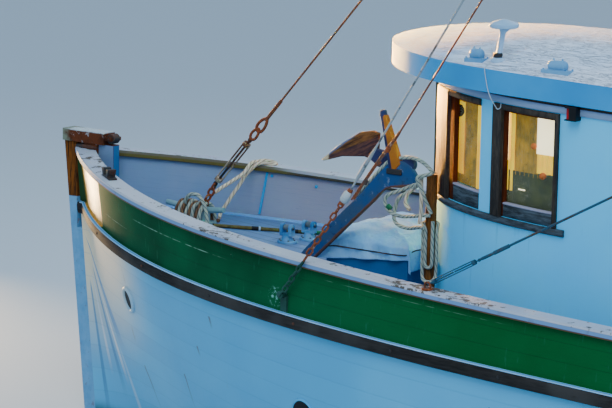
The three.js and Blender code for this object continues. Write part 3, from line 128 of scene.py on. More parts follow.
class Finish:
    # a material and its nodes; the methods add nodes and hand back their sockets
    def __init__(self, name):
        self.material = bpy.data.materials.new(name)
        self.material.use_nodes = True
        self.tree = self.material.node_tree
        self.tree.nodes.clear()
        self.coords = self.node("ShaderNodeTexCoord")
        self.place = Wire(self, self.coords.outputs["Object"])
        self.uv = Wire(self, self.coords.outputs["UV"])

    def node(self, kind, settings=None, values=None):
        made = self.tree.nodes.new(kind)
        for key, value in (settings or {}).items():
            setattr(made, key, value)
        for key, value in (values or {}).items():
            if isinstance(value, Wire):
                self.tree.links.new(value.socket, made.inputs[key])
            else:
                made.inputs[key].default_value = value
        return made

    def math(self, operation, *values):
        made = self.node("ShaderNodeMath", {"operation": operation}, dict(enumerate(values)))
        return Wire(self, made.outputs[0])

    def axes(self, vector=None):
        made = self.node("ShaderNodeSeparateXYZ", None, {0: vector or self.place})
        return [Wire(self, made.outputs[k]) for k in range(3)]

    def vector(self, x, y, z):
        return Wire(self, self.node("ShaderNodeCombineXYZ", None, {0: x, 1: y, 2: z}).outputs[0])

    def scaled(self, vector, scale):
        made = self.node("ShaderNodeVectorMath", {"operation": "MULTIPLY"}, {0: vector, 1: scale})
        return Wire(self, made.outputs[0])

    def noise(self, scale, detail=4, rough=0.55, at=None, warp=0.0):
        # at: a place, or its three parts
        at = self.vector(*at) if isinstance(at, tuple) else at or self.place
        made = self.node("ShaderNodeTexNoise", None, {
            "Vector": at, "Scale": scale, "Detail": detail, "Roughness": rough, "Distortion": warp})
        return Wire(self, made.outputs["Fac"])

    def cells(self, scale, feature="F1"):
        made = self.node("ShaderNodeTexVoronoi", {"feature": feature}, {"Vector": self.place, "Scale": scale})
        return Wire(self, made.outputs["Distance"])

    def between(self, value, low, high, start=0.0, end=1.0):
        made = self.node("ShaderNodeMapRange", {"interpolation_type": "SMOOTHSTEP"}, {
            "Value": value, "From Min": low, "From Max": high, "To Min": start, "To Max": end})
        return Wire(self, made.outputs["Result"])

    def below(self, value, low, high):
        return self.between(value, low, high, 1.0, 0)

    def lines(self, value, spacing, width):
        # 1 on thin lines at every multiple of the spacing, 0 between them
        away = self.math("ABSOLUTE", self.math("FRACT", value / spacing + 0.5) - 0.5) * spacing
        return self.below(away, width * 0.4, width)

    def mix(self, factor, a, b):
        made = self.node("ShaderNodeMix", {"data_type": "RGBA"}, {0: factor, 6: opaque(a), 7: opaque(b)})
        return Wire(self, made.outputs[2])

    def over(self, colour, tint, value, low, high, strength=1.0):
        # the colour, with a tint laid on where a value runs from low to high
        share = self.between(value, low, high)
        return self.mix(share if strength == 1 else share * strength, colour, tint)

    def bump(self, height, depth):
        made = self.node("ShaderNodeBump", None, {"Height": height, "Distance": depth, "Strength": 1.0})
        return Wire(self, made.outputs["Normal"])

    def surface(self, colour, rough, normal=None, metal=0.0, shine=0.5, **extra):
        values = {"Base Color": opaque(colour), "Roughness": rough, "Metallic": metal, "Specular IOR Level": shine}
        if normal:
            values["Normal"] = normal
        values.update({key.replace("_", " "): value for key, value in extra.items()})
        shader = self.node("ShaderNodeBsdfPrincipled", None, values)
        end = self.node("ShaderNodeOutputMaterial")
        self.tree.links.new(shader.outputs[0], end.inputs[0])
        return self.material


def shade(text, strength=1.0):
    # a linear colour from six hexadecimal digits
    parts = [int(text[k:k + 2], 16) / 255 for k in (0, 2, 4)]
    return tuple((c / 12.92 if c <= 0.04045 else ((c + 0.055) / 1.055) ** 2.4) * strength for c in parts)


def opaque(colour):
    # a colour given by its digits, by its parts or as a wire
    if isinstance(colour, Wire):
        return colour
    return (*(shade(colour) if isinstance(colour, str) else colour), 1)


# materials
def paintedHull():
    paint = Finish("hullPaint")
    x, y, z = paint.axes()
    planks = {"count": 17, "seam": 0.0022}
    girth = paint.axes(paint.uv)[1] * planks["count"]
    seam = paint.lines(girth, 1.0, planks["seam"] * planks["count"])
    plankNumber = paint.math("FLOOR", girth)
    tone = paint.noise(1.7, 1, at=(x * 0.3, plankNumber * 3.7, plankNumber))
    broad = paint.noise(0.9, 3)
    fine = paint.noise(38, 4)
    clean = paint.over("4cb2e0", "5cc0ea", broad, 0.35, 0.7)
    clean = paint.over(clean, "3b92c8", tone, 0.3, 0.7, 0.25)
    # painted streaks of light and shadow fan out from one place below the stem head; turned as seen from the port
    # bow
    fan = {"right": (-0.791, -0.611, 0.018), "up": (0.123, -0.131, 0.984), "from": (4.74, 0.05, 1.36)}
    wide = paint.math("ABSOLUTE", y)
    reach, rise = [x * a + wide * b + z * c - Vector((a, b, c)).dot(Vector(fan["from"]))
                   for a, b, c in (fan["right"], fan["up"])]
    drop = rise * -1
    away = paint.math("SQRT", reach * reach + drop * drop)
    swing = paint.math("ARCTAN2", reach, drop) * (180 / pi)
    # painted sunlight: a cream patch on the bow below the stem head, which also gets a glossy coat
    lit = paint.below(away, 0.1, 1.15) * paint.between(x, 3.35, 4.0)
    clean = paint.mix(lit * 0.95, clean, "ffe6bc")
    lightAndShadeStreaks = {
        # painted streaks of light and shadow: degrees from straight down: half width in degrees, nearest, farthest,
        # colour
        1.5: (0.9, 0.3, 1.6, "b9d6e6"), 8.0: (0.9, 0.35, 1.5, "3f86b4"), 12.0: (0.8, 0.3, 1.1, "dfe4ea"),
        15.5: (0.9, 0.25, 1.3, "3f88b8"), 17.8: (0.7, 0.2, 1.2, "f2ede8"), 20.9: (1.6, 0.03, 0.95, "3a8cc4"),
        19.2: (0.6, 0.85, 2.2, "9cc8e2"),
    }
    for angle, (half, near, far, tint) in lightAndShadeStreaks.items():
        ray = paint.below(paint.math("ABSOLUTE", swing - angle), half * 0.5, half)
        reached = paint.between(away, near, near + 0.1) * paint.below(away, far * 0.7, far)
        clean = paint.mix(ray * reached * 0.8, clean, tint)
    run = paint.noise(9, 3, 0.65, (x * 3.2, y * 3.2, z * 0.22))
    streaks = paint.between(run, 0.66, 0.75) * paint.between(paint.noise(1.3, 2), 0.5, 0.62)
    rusty = paint.mix(streaks * 0.45, clean, "8a7a58")
    weeps = [
        # a rusty run: x and z of its head, x and z of its foot, half width
        (3.753, 0.583, 3.642, 0.322, 0.012), (3.088, 0.704, 3.041, 0.497, 0.01),
        (2.675, 1.2, 2.66, 1.15, 0.013), (2.85, 0.96, 2.84, 0.92, 0.011),
    ]
    for headX, headZ, footX, footZ, half in weeps:
        lean = (footX - headX) / (footZ - headZ)
        aside = paint.math("ABSOLUTE", x + (paint.noise(11, 3) - 0.5) * 0.03 - headX - (z - headZ) * lean)
        run = paint.below(aside, half * 0.4, half) * paint.between(z, footZ - 0.03, headZ, 0.15)
        run = run * paint.between(z, footZ - 0.04, footZ) * paint.below(z, headZ, headZ + 0.01)
        rusty = paint.mix(run * 0.75, rusty, "7a5a34")
    spots = paint.between(paint.cells(5.5), 0.03, 0.018) * paint.between(paint.noise(3.1, 2), 0.5, 0.6)
    marked = paint.mix(spots * 0.8, rusty, "35566b")
    boot = paint.below(z + (paint.noise(7, 4) - 0.5) * 0.05, 0, 0.14)
    weedy = paint.mix(boot, marked, "2f4a3c")
    colour = paint.mix(seam * 0.14, weedy, "2f79a8")
    height = (1 - seam) * 0.15 + broad * 0.9 + fine * 0.05 + paint.noise(3.4, 2) * 0.6
    normal = paint.bump(height, 0.0032)
    return paint.surface(colour, 0.4 + fine * 0.2, normal, shine=0.3,
                         Coat_Weight=lit * 0.5, Coat_Roughness=0.25)


def greenBoards():
    # the bulwark's outside: UV is (metres behind the bow, metres up from the deck's edge)
    paint = Finish("greenBulwark")
    x, z = paint.axes()[::2]
    along, across, spare = paint.axes(paint.uv)
    broad = paint.noise(1.3, 3)
    grain = paint.noise(6, 5, 0.65, (along * 1.1, across * 34, spare))
    colour = paint.over("005c36", "003e24", broad, 0.32, 0.7)
    colour = paint.over(colour, "005f22", x, 2.6, 0.4, 0.5)
    colour = paint.over(colour, "00301f", grain, 0.52, 0.76, 0.35)
    rubs = {
        # height: from, to along the side, strength
        0.208: (1.2, 2.35, 0.75), 0.118: (0.66, 1.25, 0.4), 0.262: (3.1, 4.6, 0.25),
    }
    for height, (start, end, strength) in rubs.items():
        line = paint.below(paint.math("ABSOLUTE", across - height), 0.0012, 0.0034)
        span = paint.between(along, start, start + 0.15) * paint.below(along, end - 0.3, end)
        broken = paint.between(paint.noise(9, 3, at=(along, spare, spare)), 0.4, 0.6)
        colour = paint.mix(line * span * broken * strength, colour, "8fc4a8")
    chips = paint.between(paint.noise(16, 6, 0.7) + paint.noise(2.1, 2) * 0.4, 0.97, 1.0)
    colour = paint.mix(chips * 0.7, colour, "93ad9f")
    seam = paint.lines(across, 0.115, 0.002)
    fromPlate = paint.math("SQRT", (x - 2.03) * (x - 2.03) + (z - 1.455) * (z - 1.455))
    flecks = paint.between(paint.noise(34, 5, 0.75), 0.52, 0.58)
    flecks = flecks * paint.below(fromPlate, 0.03, 0.075)
    colour = paint.mix(flecks * 0.85, colour, "7cc4b4")
    drips = paint.between(paint.noise(8, 4, at=(along * 5, across * 0.7, spare)), 0.62, 0.7)
    colour = paint.mix(drips * 0.3, colour, "2c7a5c")
    colour = paint.mix(seam * 0.3, colour, "00251a")
    # painted reflection: the low sun's gold on the bow's first boards, which also get a glossy coat; the boards
    # nearest the stem are darker olive
    reflectionEnd = along + paint.noise(7, 3, at=(spare, across * 0.6, spare)) * 0.03
    reflectionAndGloss = paint.below(reflectionEnd, 0.632, 0.662) * paint.between(along, 0.05, 0.13)
    colour = paint.mix(paint.between(along, 0.04, 0.14, 0.7, 0), colour, "2c3a1a")
    streak = paint.noise(5, 5, 0.6, (along * 9, across * 1.1, spare))
    reflectedGold = paint.over("ffb838", "b47c1c", streak, 0.35, 0.65)
    colour = paint.mix(reflectionAndGloss * 0.9, colour, reflectedGold)
    crackAt = paint.math("ABSOLUTE", across - 0.31 + (along - 0.4) * -0.35)
    crack = paint.below(crackAt, 0.0015, 0.004) * reflectionAndGloss * paint.between(along, 0.38, 0.42)
    colour = paint.mix(crack * 0.7, colour, "5a4326")
    normal = paint.bump((1 - seam) * 0.4 + grain * 0.35 + broad * 0.5, 0.0026)
    return paint.surface(colour, 0.62 + reflectionAndGloss * -0.32, normal, shine=0.06,
                         Coat_Weight=reflectionAndGloss * 0.22, Coat_Roughness=0.2)


def innerBoards():
    # bluer towards the bow, lilac grey aft
    paint = Finish("lilacPanel")
    x = paint.axes()[0]
    along, across, spare = paint.axes(paint.uv)
    grain = paint.noise(5, 5, 0.65, (along * 0.9, across * 30, spare))
    broad = paint.noise(1.4, 3)
    colour = paint.over("9997aa", "7592b6", x + (broad - 0.5) * 0.6, 3.3, 4.1)
    colour = paint.over(colour, "4f6488", grain, 0.5, 0.75, 0.3)
    colour = paint.over(colour, "a3aabd", broad, 0.4, 0.7, 0.3)
    nicks = paint.between(paint.noise(4, 3, at=(along * 2.0, across * 60, 0)), 0.7, 0.73)
    colour = paint.mix(nicks * 0.6, colour, "39455c")
    normal = paint.bump(grain * 0.35 + broad * 0.5 + (1 - nicks) * 0.2, 0.0025)
    return paint.surface(colour, 0.6, normal, shine=0.3)


def railEdge(name, upper, lower, split, dirt):
    # a painted edge over a bare lower lip: UV's second part is metres up the edge
    paint = Finish(name)
    along, up, spare = paint.axes(paint.uv)
    grain = paint.noise(6, 5, 0.7, (along * 1.5, up * 60, spare))
    wornAt = paint.between(paint.noise(11, 5, 0.7), 0.56, 0.62)
    top = paint.mix(wornAt * dirt, upper, lower)
    under = paint.over(lower, shade(lower, 0.4), grain, 0.35, 0.7)
    share = paint.between(up + (grain - 0.5) * 0.006, split - 0.002, split + 0.002)
    return paint.surface(paint.mix(share, under, top), 0.6, paint.bump(grain * 0.5 + share * 0.4, 0.002))


def innerRailEdge():
    # pale aft with a dark foot; bare and weedy by the bow: UV's second part is metres down the edge
    paint = Finish("capRailInnerEdge")
    along, down, spare = paint.axes(paint.uv)
    grain = paint.noise(6, 5, 0.7, (along * 1.5, down * 60, spare))
    fore = paint.below(along, 1.1, 1.35)
    above = paint.mix(fore, "a8aeb8", "6a6454")
    below = paint.mix(fore, "3c3830", "5d5526")
    share = paint.between(down + (grain - 0.5) * 0.006 + fore * 0.004, 0.022, 0.026)
    colour = paint.mix(share, above, below)
    colour = paint.over(colour, "4a463c", grain, 0.5, 0.75, 0.4)
    return paint.surface(colour, 0.65, paint.bump(grain * 0.5 + share * 0.3, 0.002), shine=0.2)


def roofPaint():
    # chalky white that cracks and lifts in waves along the boat, bluer over the nose
    paint = Finish("roofTopPaint")
    x, y, z = paint.axes()
    waves = paint.noise(3.2, 5, 0.7, (x * 1.6, y * 9, z), warp=0.9)
    fine = paint.noise(9, 5, 0.75, (x * 2.0, y * 12, z), warp=0.5)
    broad = paint.noise(1.3, 3)
    crack = paint.below(paint.math("ABSOLUTE", waves - 0.5), 0.006, 0.018)
    flake = paint.between(fine, 0.6, 0.66)
    colour = paint.over("e2f0ff", "c6dff6", broad, 0.35, 0.7)
    colour = paint.over(colour, "7cbcea", x + (broad - 0.5) * 0.5, 0.85, 1.45, 0.9)
    colour = paint.mix(crack * 0.65, colour, "7f93a8")
    colour = paint.mix(flake * 0.6, colour, "9fb2c4")
    normal = paint.bump(waves * 0.6 + flake * -0.3 + crack * -0.5 + fine * 0.4, 0.006)
    return paint.surface(colour, 0.75, normal, shine=0.2)


def anchorPaint():
    # worn blue over grey, bare brown along the shank's lower edge
    paint = Finish("anchorPaint")
    x, z = paint.axes()[::2]
    broad = paint.noise(7, 4)
    chips = paint.noise(16, 6, 0.72)
    colour = paint.over("184c80", "34506c", broad, 0.35, 0.65)
    colour = paint.over(colour, "8797a4", chips, 0.6, 0.66, 0.55)
    colour = paint.over(colour, "1c2c50", chips, 0.44, 0.36, 0.8)
    lowEdge = paint.math("MINIMUM", 3.671 - x * 0.927, 2.376 - x * 0.178)
    bare = paint.below(z - lowEdge + (chips - 0.5) * 0.03, 0.012, 0.024)
    colour = paint.mix(bare * 0.9, colour, "6e4426")
    return paint.surface(colour, 0.6, paint.bump(broad * 0.4 + chips * 0.5, 0.0025), shine=0.2)


def flukeIron():
    # a flat plate painted as two faces meeting in a ridge, the upper in painted light and the lower in painted
    # shade; a blue-grey back edge and a bright tip
    iron = Finish("flukeIron")
    x, y, z = iron.axes()
    grain = iron.noise(4, 5, 0.7, (x * 3 + z * 2, y * 3, z * 16 + x * 7))
    upper = iron.over("8a5a2c", "3c2418", grain, 0.35, 0.62)
    lower = iron.over("6a4338", "33222c", grain, 0.35, 0.62)
    # painted light and shade: the upper face coloured as lit, the lower as shaded, split at a painted ridge
    ridge = z + x * 0.42 - 3.159
    colour = iron.over(lower, upper, ridge, -0.006, 0.006)
    back = z + x * 0.7 - 3.806
    colour = iron.over(colour, "5a7296", back + (grain - 0.5) * 0.02, -0.022, -0.012)
    tip = iron.between(x + (grain - 0.5) * 0.03, 2.235, 2.255)
    colour = iron.mix(tip, colour, "d9c49c")
    return iron.surface(colour, 0.7, iron.bump(grain, 0.003), shine=0.2)


def paintedPlanks(name, light, dark, chipped, spacing, chips, rough):
    # planks along a strip whose UV is (metres along, metres across)
    paint = Finish(name)
    along, across, spare = paint.axes(paint.uv)
    grain = paint.noise(6, 5, 0.65, (along * 1.2, across * 30, spare))
    broad = paint.noise(1.4, 3)
    fine = paint.noise(60, 3)
    seam = paint.lines(across, spacing, 0.0022)
    colour = paint.over(light, dark, broad, 0.3, 0.72)
    colour = paint.over(colour, shade(dark, 0.6), grain, 0.5, 0.75, 0.3)
    scratches = paint.between(paint.noise(3, 2, at=(along * 2.2, across * 95, 0)), 0.735, 0.76)
    flakes = paint.between(paint.noise(17, 6, 0.7) + paint.noise(2.1, 2) * 0.5, 0.98 - chips, 1.02 - chips)
    colour = paint.mix(scratches * 0.5, colour, tuple(min(1, c * 2.2 + 0.1) for c in shade(light)))
    colour = paint.mix(flakes, colour, chipped)
    colour = paint.mix(seam * 0.55, colour, shade(dark, 0.35))
    normal = paint.bump((1 - seam) * 0.6 + grain * 0.35 + (1 - flakes) * 0.25 + broad * 0.6, 0.0028)
    return paint.surface(colour, rough + fine * 0.18, normal, shine=0.25,
                         Coat_Weight=0.05, Coat_Roughness=0.3)


def bareWood(name, colours, stretch, rough, cracks, grey=None):
    wood = Finish(name)
    light, dark = colours.split()
    grain = wood.noise(5, 6, 0.7, wood.scaled(wood.place, stretch), warp=0.4)
    broad = wood.noise(2.2, 3)
    split = wood.between(wood.noise(9, 3, at=wood.scaled(wood.place, stretch)), 0.66, 0.72)
    colour = wood.over(light, dark, grain, 0.32, 0.68)
    if grey:
        colour = wood.over(colour, grey, broad, 0.42, 0.66)
    colour = wood.mix(split * cracks, colour, shade(dark, 0.3))
    normal = wood.bump(grain * 0.7 + (1 - split) * 0.5, 0.003)
    return wood.surface(colour, rough + grain * 0.15, normal, shine=0.2)


def rustyIron(name, colours, amount, metal, bright=None):
    steel = Finish(name)
    iron, rust = colours.split()
    patches = steel.noise(9, 6, 0.7) + (steel.noise(2.5, 3) - 0.5) * 0.5
    cover = steel.between(patches, 0.62 - amount * 0.3, 0.72 - amount * 0.3)
    scale = steel.noise(70, 4, 0.7)
    deep = steel.over(rust, shade(rust, 0.45), scale, 0.35, 0.7)
    colour = steel.mix(cover, iron, deep)
    if bright:
        edge = steel.between(steel.noise(30, 4), 0.62, 0.7)
        colour = steel.mix(edge * 0.6, colour, bright)
    normal = steel.bump(scale * 0.6 + cover * 0.5, 0.0016)
    return steel.surface(colour, 0.5 + cover * 0.35, normal, metal=(1 - cover) * metal)


def weatheredPaint(name, colours, rough, wear, scale=1.0, dirt=None, metal=0.0, glow=0.0):
    paint = Finish(name)
    main, second, worn = colours.split()
    broad = paint.noise(1.6 * scale, 4)
    fine = paint.noise(46 * scale, 4)
    chips = paint.noise(13 * scale, 6, 0.72) + (paint.noise(3.0 * scale, 2) - 0.5) * 0.6
    lost = paint.between(chips, 0.82 - wear * 0.3, 0.86 - wear * 0.3)
    colour = paint.over(main, second, broad, 0.3, 0.72)
    if dirt:
        x, y, z = paint.axes()
        runs = paint.noise(7, 4, at=(x * 3, y * 3, z * 0.3))
        colour = paint.over(colour, dirt, runs, 0.6, 0.74, 0.6)
    colour = paint.mix(lost, colour, worn)
    normal = paint.bump(broad * 0.5 + fine * 0.12 + (1 - lost) * 0.3, 0.003)
    if glow:
        # painted light: cloth and card glow as if the sun shone through them
        return paint.surface(colour, rough + fine * 0.2, normal, Emission_Color=colour, Emission_Strength=glow)
    return paint.surface(colour, rough + fine * 0.2, normal, metal=metal, shine=0.2)


def deckPlanks():
    deck = Finish("deckPaint")
    x, y, z = deck.axes()
    seam = deck.lines(y, 0.105, 0.0055)
    butts = deck.lines(x + deck.math("FLOOR", y / 0.105 + 0.5) * 0.77, 2.31, 0.004)
    joint = deck.math("MAXIMUM", seam, butts)
    grain = deck.noise(7, 5, 0.65, (x * 1.5, y * 26, z))
    broad = deck.noise(1.5, 4)
    worn = deck.between(deck.noise(6, 6, 0.7) + broad * 0.5, 0.86, 0.93)
    colour = deck.over("4c76a6", "5f88b4", broad, 0.3, 0.7)
    colour = deck.over(colour, "40688e", grain, 0.5, 0.72, 0.4)
    colour = deck.mix(worn * 0.4, colour, "93a6b6")
    colour = deck.mix(joint * 0.8, colour, "3b4650")
    return deck.surface(colour, 0.6 + grain * 0.15, deck.bump((1 - joint) + grain * 0.3, 0.003))


def laidRope(name, pale, dark, pitch=0.046):
    # three-strand lay; UV is (turns round, metres along)
    rope = Finish(name)
    around, along = rope.axes(rope.uv)[:2]
    strand = rope.math("FRACT", around * 3 + along / pitch)
    ridge = rope.math("SINE", strand * pi)
    yarn = rope.math("SINE", rope.math("FRACT", around * 24 - along / pitch * 2) * pi)
    dirt = rope.noise(9, 4)
    colour = rope.over(dark, pale, ridge, 0.15, 0.75)
    colour = rope.over(colour, dark, dirt, 0.45, 0.75, 0.45)
    return rope.surface(colour, 0.9, rope.bump(ridge * 0.8 + yarn * 0.12, 0.0024))


def windowGlass():
    glass = Finish("windowGlass")
    specks = glass.between(glass.cells(110), 0.26, 0.12) * glass.between(glass.noise(7, 3), 0.44, 0.6)
    haze = glass.noise(4, 4)
    alpha = 0.05 + glass.between(haze, 0.4, 0.8) * 0.06 + specks * 0.5
    colour = glass.mix(specks, "b8b69a", "e6e0c0")
    made = glass.surface(colour, 0.1 + specks * 0.4, None, Alpha=alpha, shine=0.04)
    made.surface_render_method = "BLENDED"
    return made


def meltedNet():
    net = Finish("netGreen")
    knots = net.cells(26)
    thread = net.below(net.cells(26, feature="DISTANCE_TO_EDGE"), 0.02, 0.07)
    bundle = net.noise(12, 5, 0.7)
    colour = net.over("1d4c3f", "3a8a70", bundle, 0.3, 0.7)
    colour = net.mix(thread * 0.6, colour, "79b59a")
    return net.surface(colour, 0.92, net.bump(thread * 0.5 + bundle + knots * 0.2, 0.02))


def splitPaint(name, above, below, height, ends=None):
    # worn wood above a height, paint below it
    timber = Finish(name)
    x, z = timber.axes()[::2]
    grain = timber.noise(5, 6, 0.7, timber.scaled(timber.place, (13, 13, 1.2)), warp=0.4)
    split = timber.between(timber.noise(8, 3, at=timber.scaled(timber.place, (13, 13, 1.2))), 0.64, 0.7)
    broad = timber.noise(6, 5, 0.7)
    wood = timber.mix(timber.between(grain, 0.34, 0.66), *above)
    wood = timber.mix(split * 0.7, wood, shade(above[1], 0.25))
    flakes = timber.between(timber.noise(21, 6, 0.7), 0.6, 0.66)
    paint = timber.mix(timber.between(broad, 0.35, 0.7), *below)
    paint = timber.mix(flakes * 0.5, paint, above[0])
    edge = timber.between(z + (timber.noise(14, 3) - 0.5) * 0.01, height - 0.004, height + 0.004)
    colour = timber.mix(edge, paint, wood)
    if ends:
        fore = timber.between(x + (timber.noise(9, 4) - 0.5) * 0.3, ends[0], ends[1])
        colour = timber.mix(fore * (1 - flakes * 0.6), colour, ends[2])
    normal = timber.bump(grain * 0.6 + (1 - split) * 0.5 + (1 - flakes) * 0.2, 0.003)
    return timber.surface(colour, 0.7, normal, shine=0.15)


def canvasCloth():
    cloth = Finish("canvasCloth")
    x, y, z = cloth.axes()
    weave = cloth.math("SINE", x * 2600) * 0.5 + cloth.math("SINE", y * 2600) * 0.5
    broad = cloth.noise(4, 4)
    stain = cloth.between(cloth.noise(9, 5, 0.65), 0.56, 0.72)
    colour = cloth.over("aadcff", "80c4f2", broad, 0.35, 0.7)
    colour = cloth.mix(stain * 0.4, colour, "5f90b8")
    wrinkles = cloth.noise(14, 3, at=(x, y, z * 0.3), warp=1.5)
    return cloth.surface(colour, 0.85, cloth.bump(wrinkles + weave * 0.01 + broad * 0.6, 0.012))


paints = {
    # finish: material, main, second and worn colour, roughness, wear, scale, dirt, metal, painted glow
    "paleBlue": ("paleBluePaint", "9cc8ea 7db2dc 5c5a55", 0.4, 0.2),
    "waterway": ("waterwayBlue", "7cb6ee 649fdc 8b97a6", 0.6, 0.1),
    "house": ("housePaint", "54ccff 62d6ff 5f7480", 0.5, -0.25, 0.8, "48aae0"),
    "trim": ("visorTrim", "8fa6c4 7f98b8 6a5f4a", 0.6, 0.1, 2.0),
    "ventBlue": ("ventBlue", "74add2 5c98c4 a9bccb", 0.5, 0.2, 4.0),
    "fascia": ("fasciaPaint", "1c8ccc 2fa2da 2b5f80", 0.5, -0.1, 0.8),
    "curtain": ("curtainCloth", "ffd820 f2b408 8a6a1f", 0.85, -0.3, 2.0, None, 0, 0.75),
    "cream": ("creamCard", "fff2c8 f8e6ac c9b27a", 0.7, -0.2, 2.0, None, 0, 2.1),
    "orangeBall": ("orangeFloat", "e0741c c9601a 7a3a14", 0.4, -0.1, 3.0),
    "redLens": ("redLens", "c4161c 8f0f16 5a0a10", 0.15, -0.4, 3.0),
    "greenLens": ("greenLens", "11804a 0c6a3c 08442a", 0.15, -0.4, 3.0),
    "anchorDark": ("anchorDark", "2c3a66 241f3c 5a3a34", 0.6, 0.35, 3.0),
    "greenIron": ("greenIron", "2f5d52 1e4339 7a5a44", 0.55, 0.2, 3.0),
    "poleGreen": ("poleGreen", "0f7a50 0a5e3c 2a4a3a", 0.5, 0.1, 3.0),
    "amber": ("cabinAmber", "b88a08 6e5a08 3a3a10", 0.7, 0.55, 7.0, None, 0, 0.38),
    "cabinGreen": ("cabinGreen", "3c4410 182a18 6e6018", 0.7, 0.45, 8.0, None, 0, 0.16),
    "chalk": ("chalkyIron", "b4c0c4 8f9da6 7a4a34", 0.7, 0.5, 5.0),
    "cleat": ("cleatPaint", "8fb0b6 6c959e 8a5a34", 0.6, 0.45, 2.0),
    "castBlue": ("castBlue", "7ab4dc 2a72ac 185488", 0.5, 0.5, 3.5),
    "ochre": ("ochrePaint", "c4761f 9a5a1c 5a3a22", 0.6, 0.45, 3.0),
    "orange": ("spritOrange", "b9793b a3622c 7d8078", 0.55, 0.2, 1.4),
    "machine": ("machineGrey", "6d7a80 59666d 7a4a2c", 0.5, 0.45, 1.8, None, 0.1),
    "black": ("blackPlastic", "17191c 0e1012 3a3d40", 0.42, -0.1, 3.0),
    "white": ("whitePlastic", "a9cbe4 8fb9d8 6f7d88", 0.4, 0.05, 3.0),
    "bronze": ("bronze", "9a7b3a 7d6030 4a7a62", 0.35, 0.3, 3.0, None, 0.8),
}
woods = {
    # finish: material, light and dark colour, stretch of the grain, roughness, cracks, grey
    "guard": ("guardWood", "2c2826 141212", (1.2, 1.2, 14), 0.6, 0.7, "3a3836"),
    "frame": ("windowFrameWood", "453c34 23201e", (8, 8, 1.5), 0.6, 0.4),
    "railGrey": ("windowRailGrey", "4c5a64 22282c", (2, 2, 12), 0.7, 0.3),
    "sash": ("windowSashWood", "702c04 3a1604", (9, 9, 1.5), 0.95, 0.3),
    "brown": ("brownTimber", "6f4a2b 3a2717", (2, 2, 12), 0.7, 0.5),
    "postWood": ("ropePostWood", "8a5420 3e2810", (12, 12, 1.5), 0.7, 0.5),
    "poleWood": ("deckPoleWood", "6f6636 4a4428", (2, 8, 8), 0.6, 0.3),
    "varnish": ("varnishedWood", "8a5a2a 5a3415", (2, 9, 9), 0.35, 0.3),
}
irons = {
    # finish: material, iron and rust, amount of rust, metal, bright edges
    "rust": ("rustyIron", "4a3a33 964a1e", 0.85, 0.3, "d0b8a4"),
    "stayBlue": ("stayBlue", "1d4a60 4a3c34", 0.3, 0.2),
    "darkRust": ("darkIron", "2e2d2e 5a3524", 0.5, 0.4),
    "wire": ("stayWire", "5d4a40 84482a", 0.85, 0.3, "b8a493"),
    "greyWire": ("greyWire", "93a0a6 5a6468", 0.3, 0.25),
    "galvanised": ("galvanisedIron", "9fb0b4 9a7350", 0.25, 0.4),
    "rustyZinc": ("rustyZinc", "a8967e 6e4426", 0.45, 0.25, "dccfb6"),
}
finishes = {
    "hull": paintedHull(),
    "green": greenBoards(),
    "lilac": innerBoards(),
    "cap": paintedPlanks("capRailPaint", "c3c8d2", "a9b4c6", "5d5348", spacing=9, chips=0.14, rough=0.5),
    "capOuter": railEdge("capRailOuterEdge", "6a93c0", "6b4a2c", 0.01, 0.25),
    "capInner": innerRailEdge(),
    "roofTop": roofPaint(),
    "stem": splitPaint("stemTimber", ("8a4c10", "2e1b08"), ("70aad2", "5c99c6"), 1.585),
    "head": splitPaint("stemHeadTimber", ("d6dde2", "aebdc0"), ("6a3418", "361a0c"), 2.0665,
                       (4.8, 4.88, "7d8470")),
    "canvas": canvasCloth(),
    "fluke": flukeIron(),
    "deck": deckPlanks(),
    "boxBlue": paintedPlanks("boxBlue", "1486cc", "0c70b0", "3d6a86", spacing=0.075, chips=-0.05, rough=0.4),
    "anchor": anchorPaint(),
    "paleRope": laidRope("paleRope", "e2d3b8", "a08c70", pitch=0.07),
    "brownRope": laidRope("brownRope", "7e5a3c", "3c2c20"),
    "greenRope": laidRope("greenGreyRope", "b2b8a6", "5f7270"),
    "thinCord": laidRope("thinCord", "cfe0ea", "9db6c6", pitch=0.02),
    "glass": windowGlass(),
    "net": meltedNet(),
}
finishes.update({key: weatheredPaint(*row) for key, row in paints.items()})
finishes.update({key: bareWood(*row) for key, row in woods.items()})
finishes.update({key: rustyIron(*row) for key, row in irons.items()})
print("materials made:", len(finishes))

# every carried-over node takes a finish by its slot
slotFinish = {
    "white_hull": "house", "green_bulwark": "green", "cap_rail": "cap", "guard_wood": "brown",
    "deck_blue_grey": "deck", "stem_wood": "stem", "rusty_steel": "rust", "galvanised": "cleat",
    "window_frame": "frame", "pale_blue_casting": "castBlue", "skylight_blue": "boxBlue", "canvas": "canvas",
    "rope": "paleRope", "glass": "glass", "black_plastic": "black", "orange_paint": "orange",
    "anchor_blue_grey": "anchor", "machinery_grey": "machine", "net_green": "net", "bronze": "bronze",
    "white_plastic": "white",
}
nodeSlot = {part["node"]: part["material_slot"] for part in frame["record"]["subparts"]}
bodyOf = {member: body for body, group in frame["record"]["behaviour"]["bodies"].items() for member in group}


for nodeName, node in nodes.items():
    node.data.materials.clear()
    node.data.materials.append(finishes[slotFinish[nodeSlot[nodeName]]])


# making pieces
def settle(bm, name, names, body="hull_body", replaces=(), smooth=35, bevel=None):
    # turns a bmesh into a piece of the boat on its body, in place of the nodes that it hides
    mesh = bpy.data.meshes.new(name)
    bm.to_mesh(mesh)
    bm.free()
    piece = bpy.data.objects.new(name, mesh)
    bpy.context.scene.collection.objects.link(piece)
    for finish in [names] if isinstance(names, str) else names:
        mesh.materials.append(finishes[finish])
    if bevel:
        soft = piece.modifiers.new("soften", "BEVEL")
        soft.width = bevel
        soft.segments = 2
        soft.limit_method = "ANGLE"
        soft.angle_limit = radians(32)
    mesh.shade_smooth()
    mesh.set_sharp_from_angle(angle=radians(smooth))
    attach(piece, body)
    if replaces:
        replaced = [replaces] if isinstance(replaces, str) else replaces
        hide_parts(*replaced)
    return piece


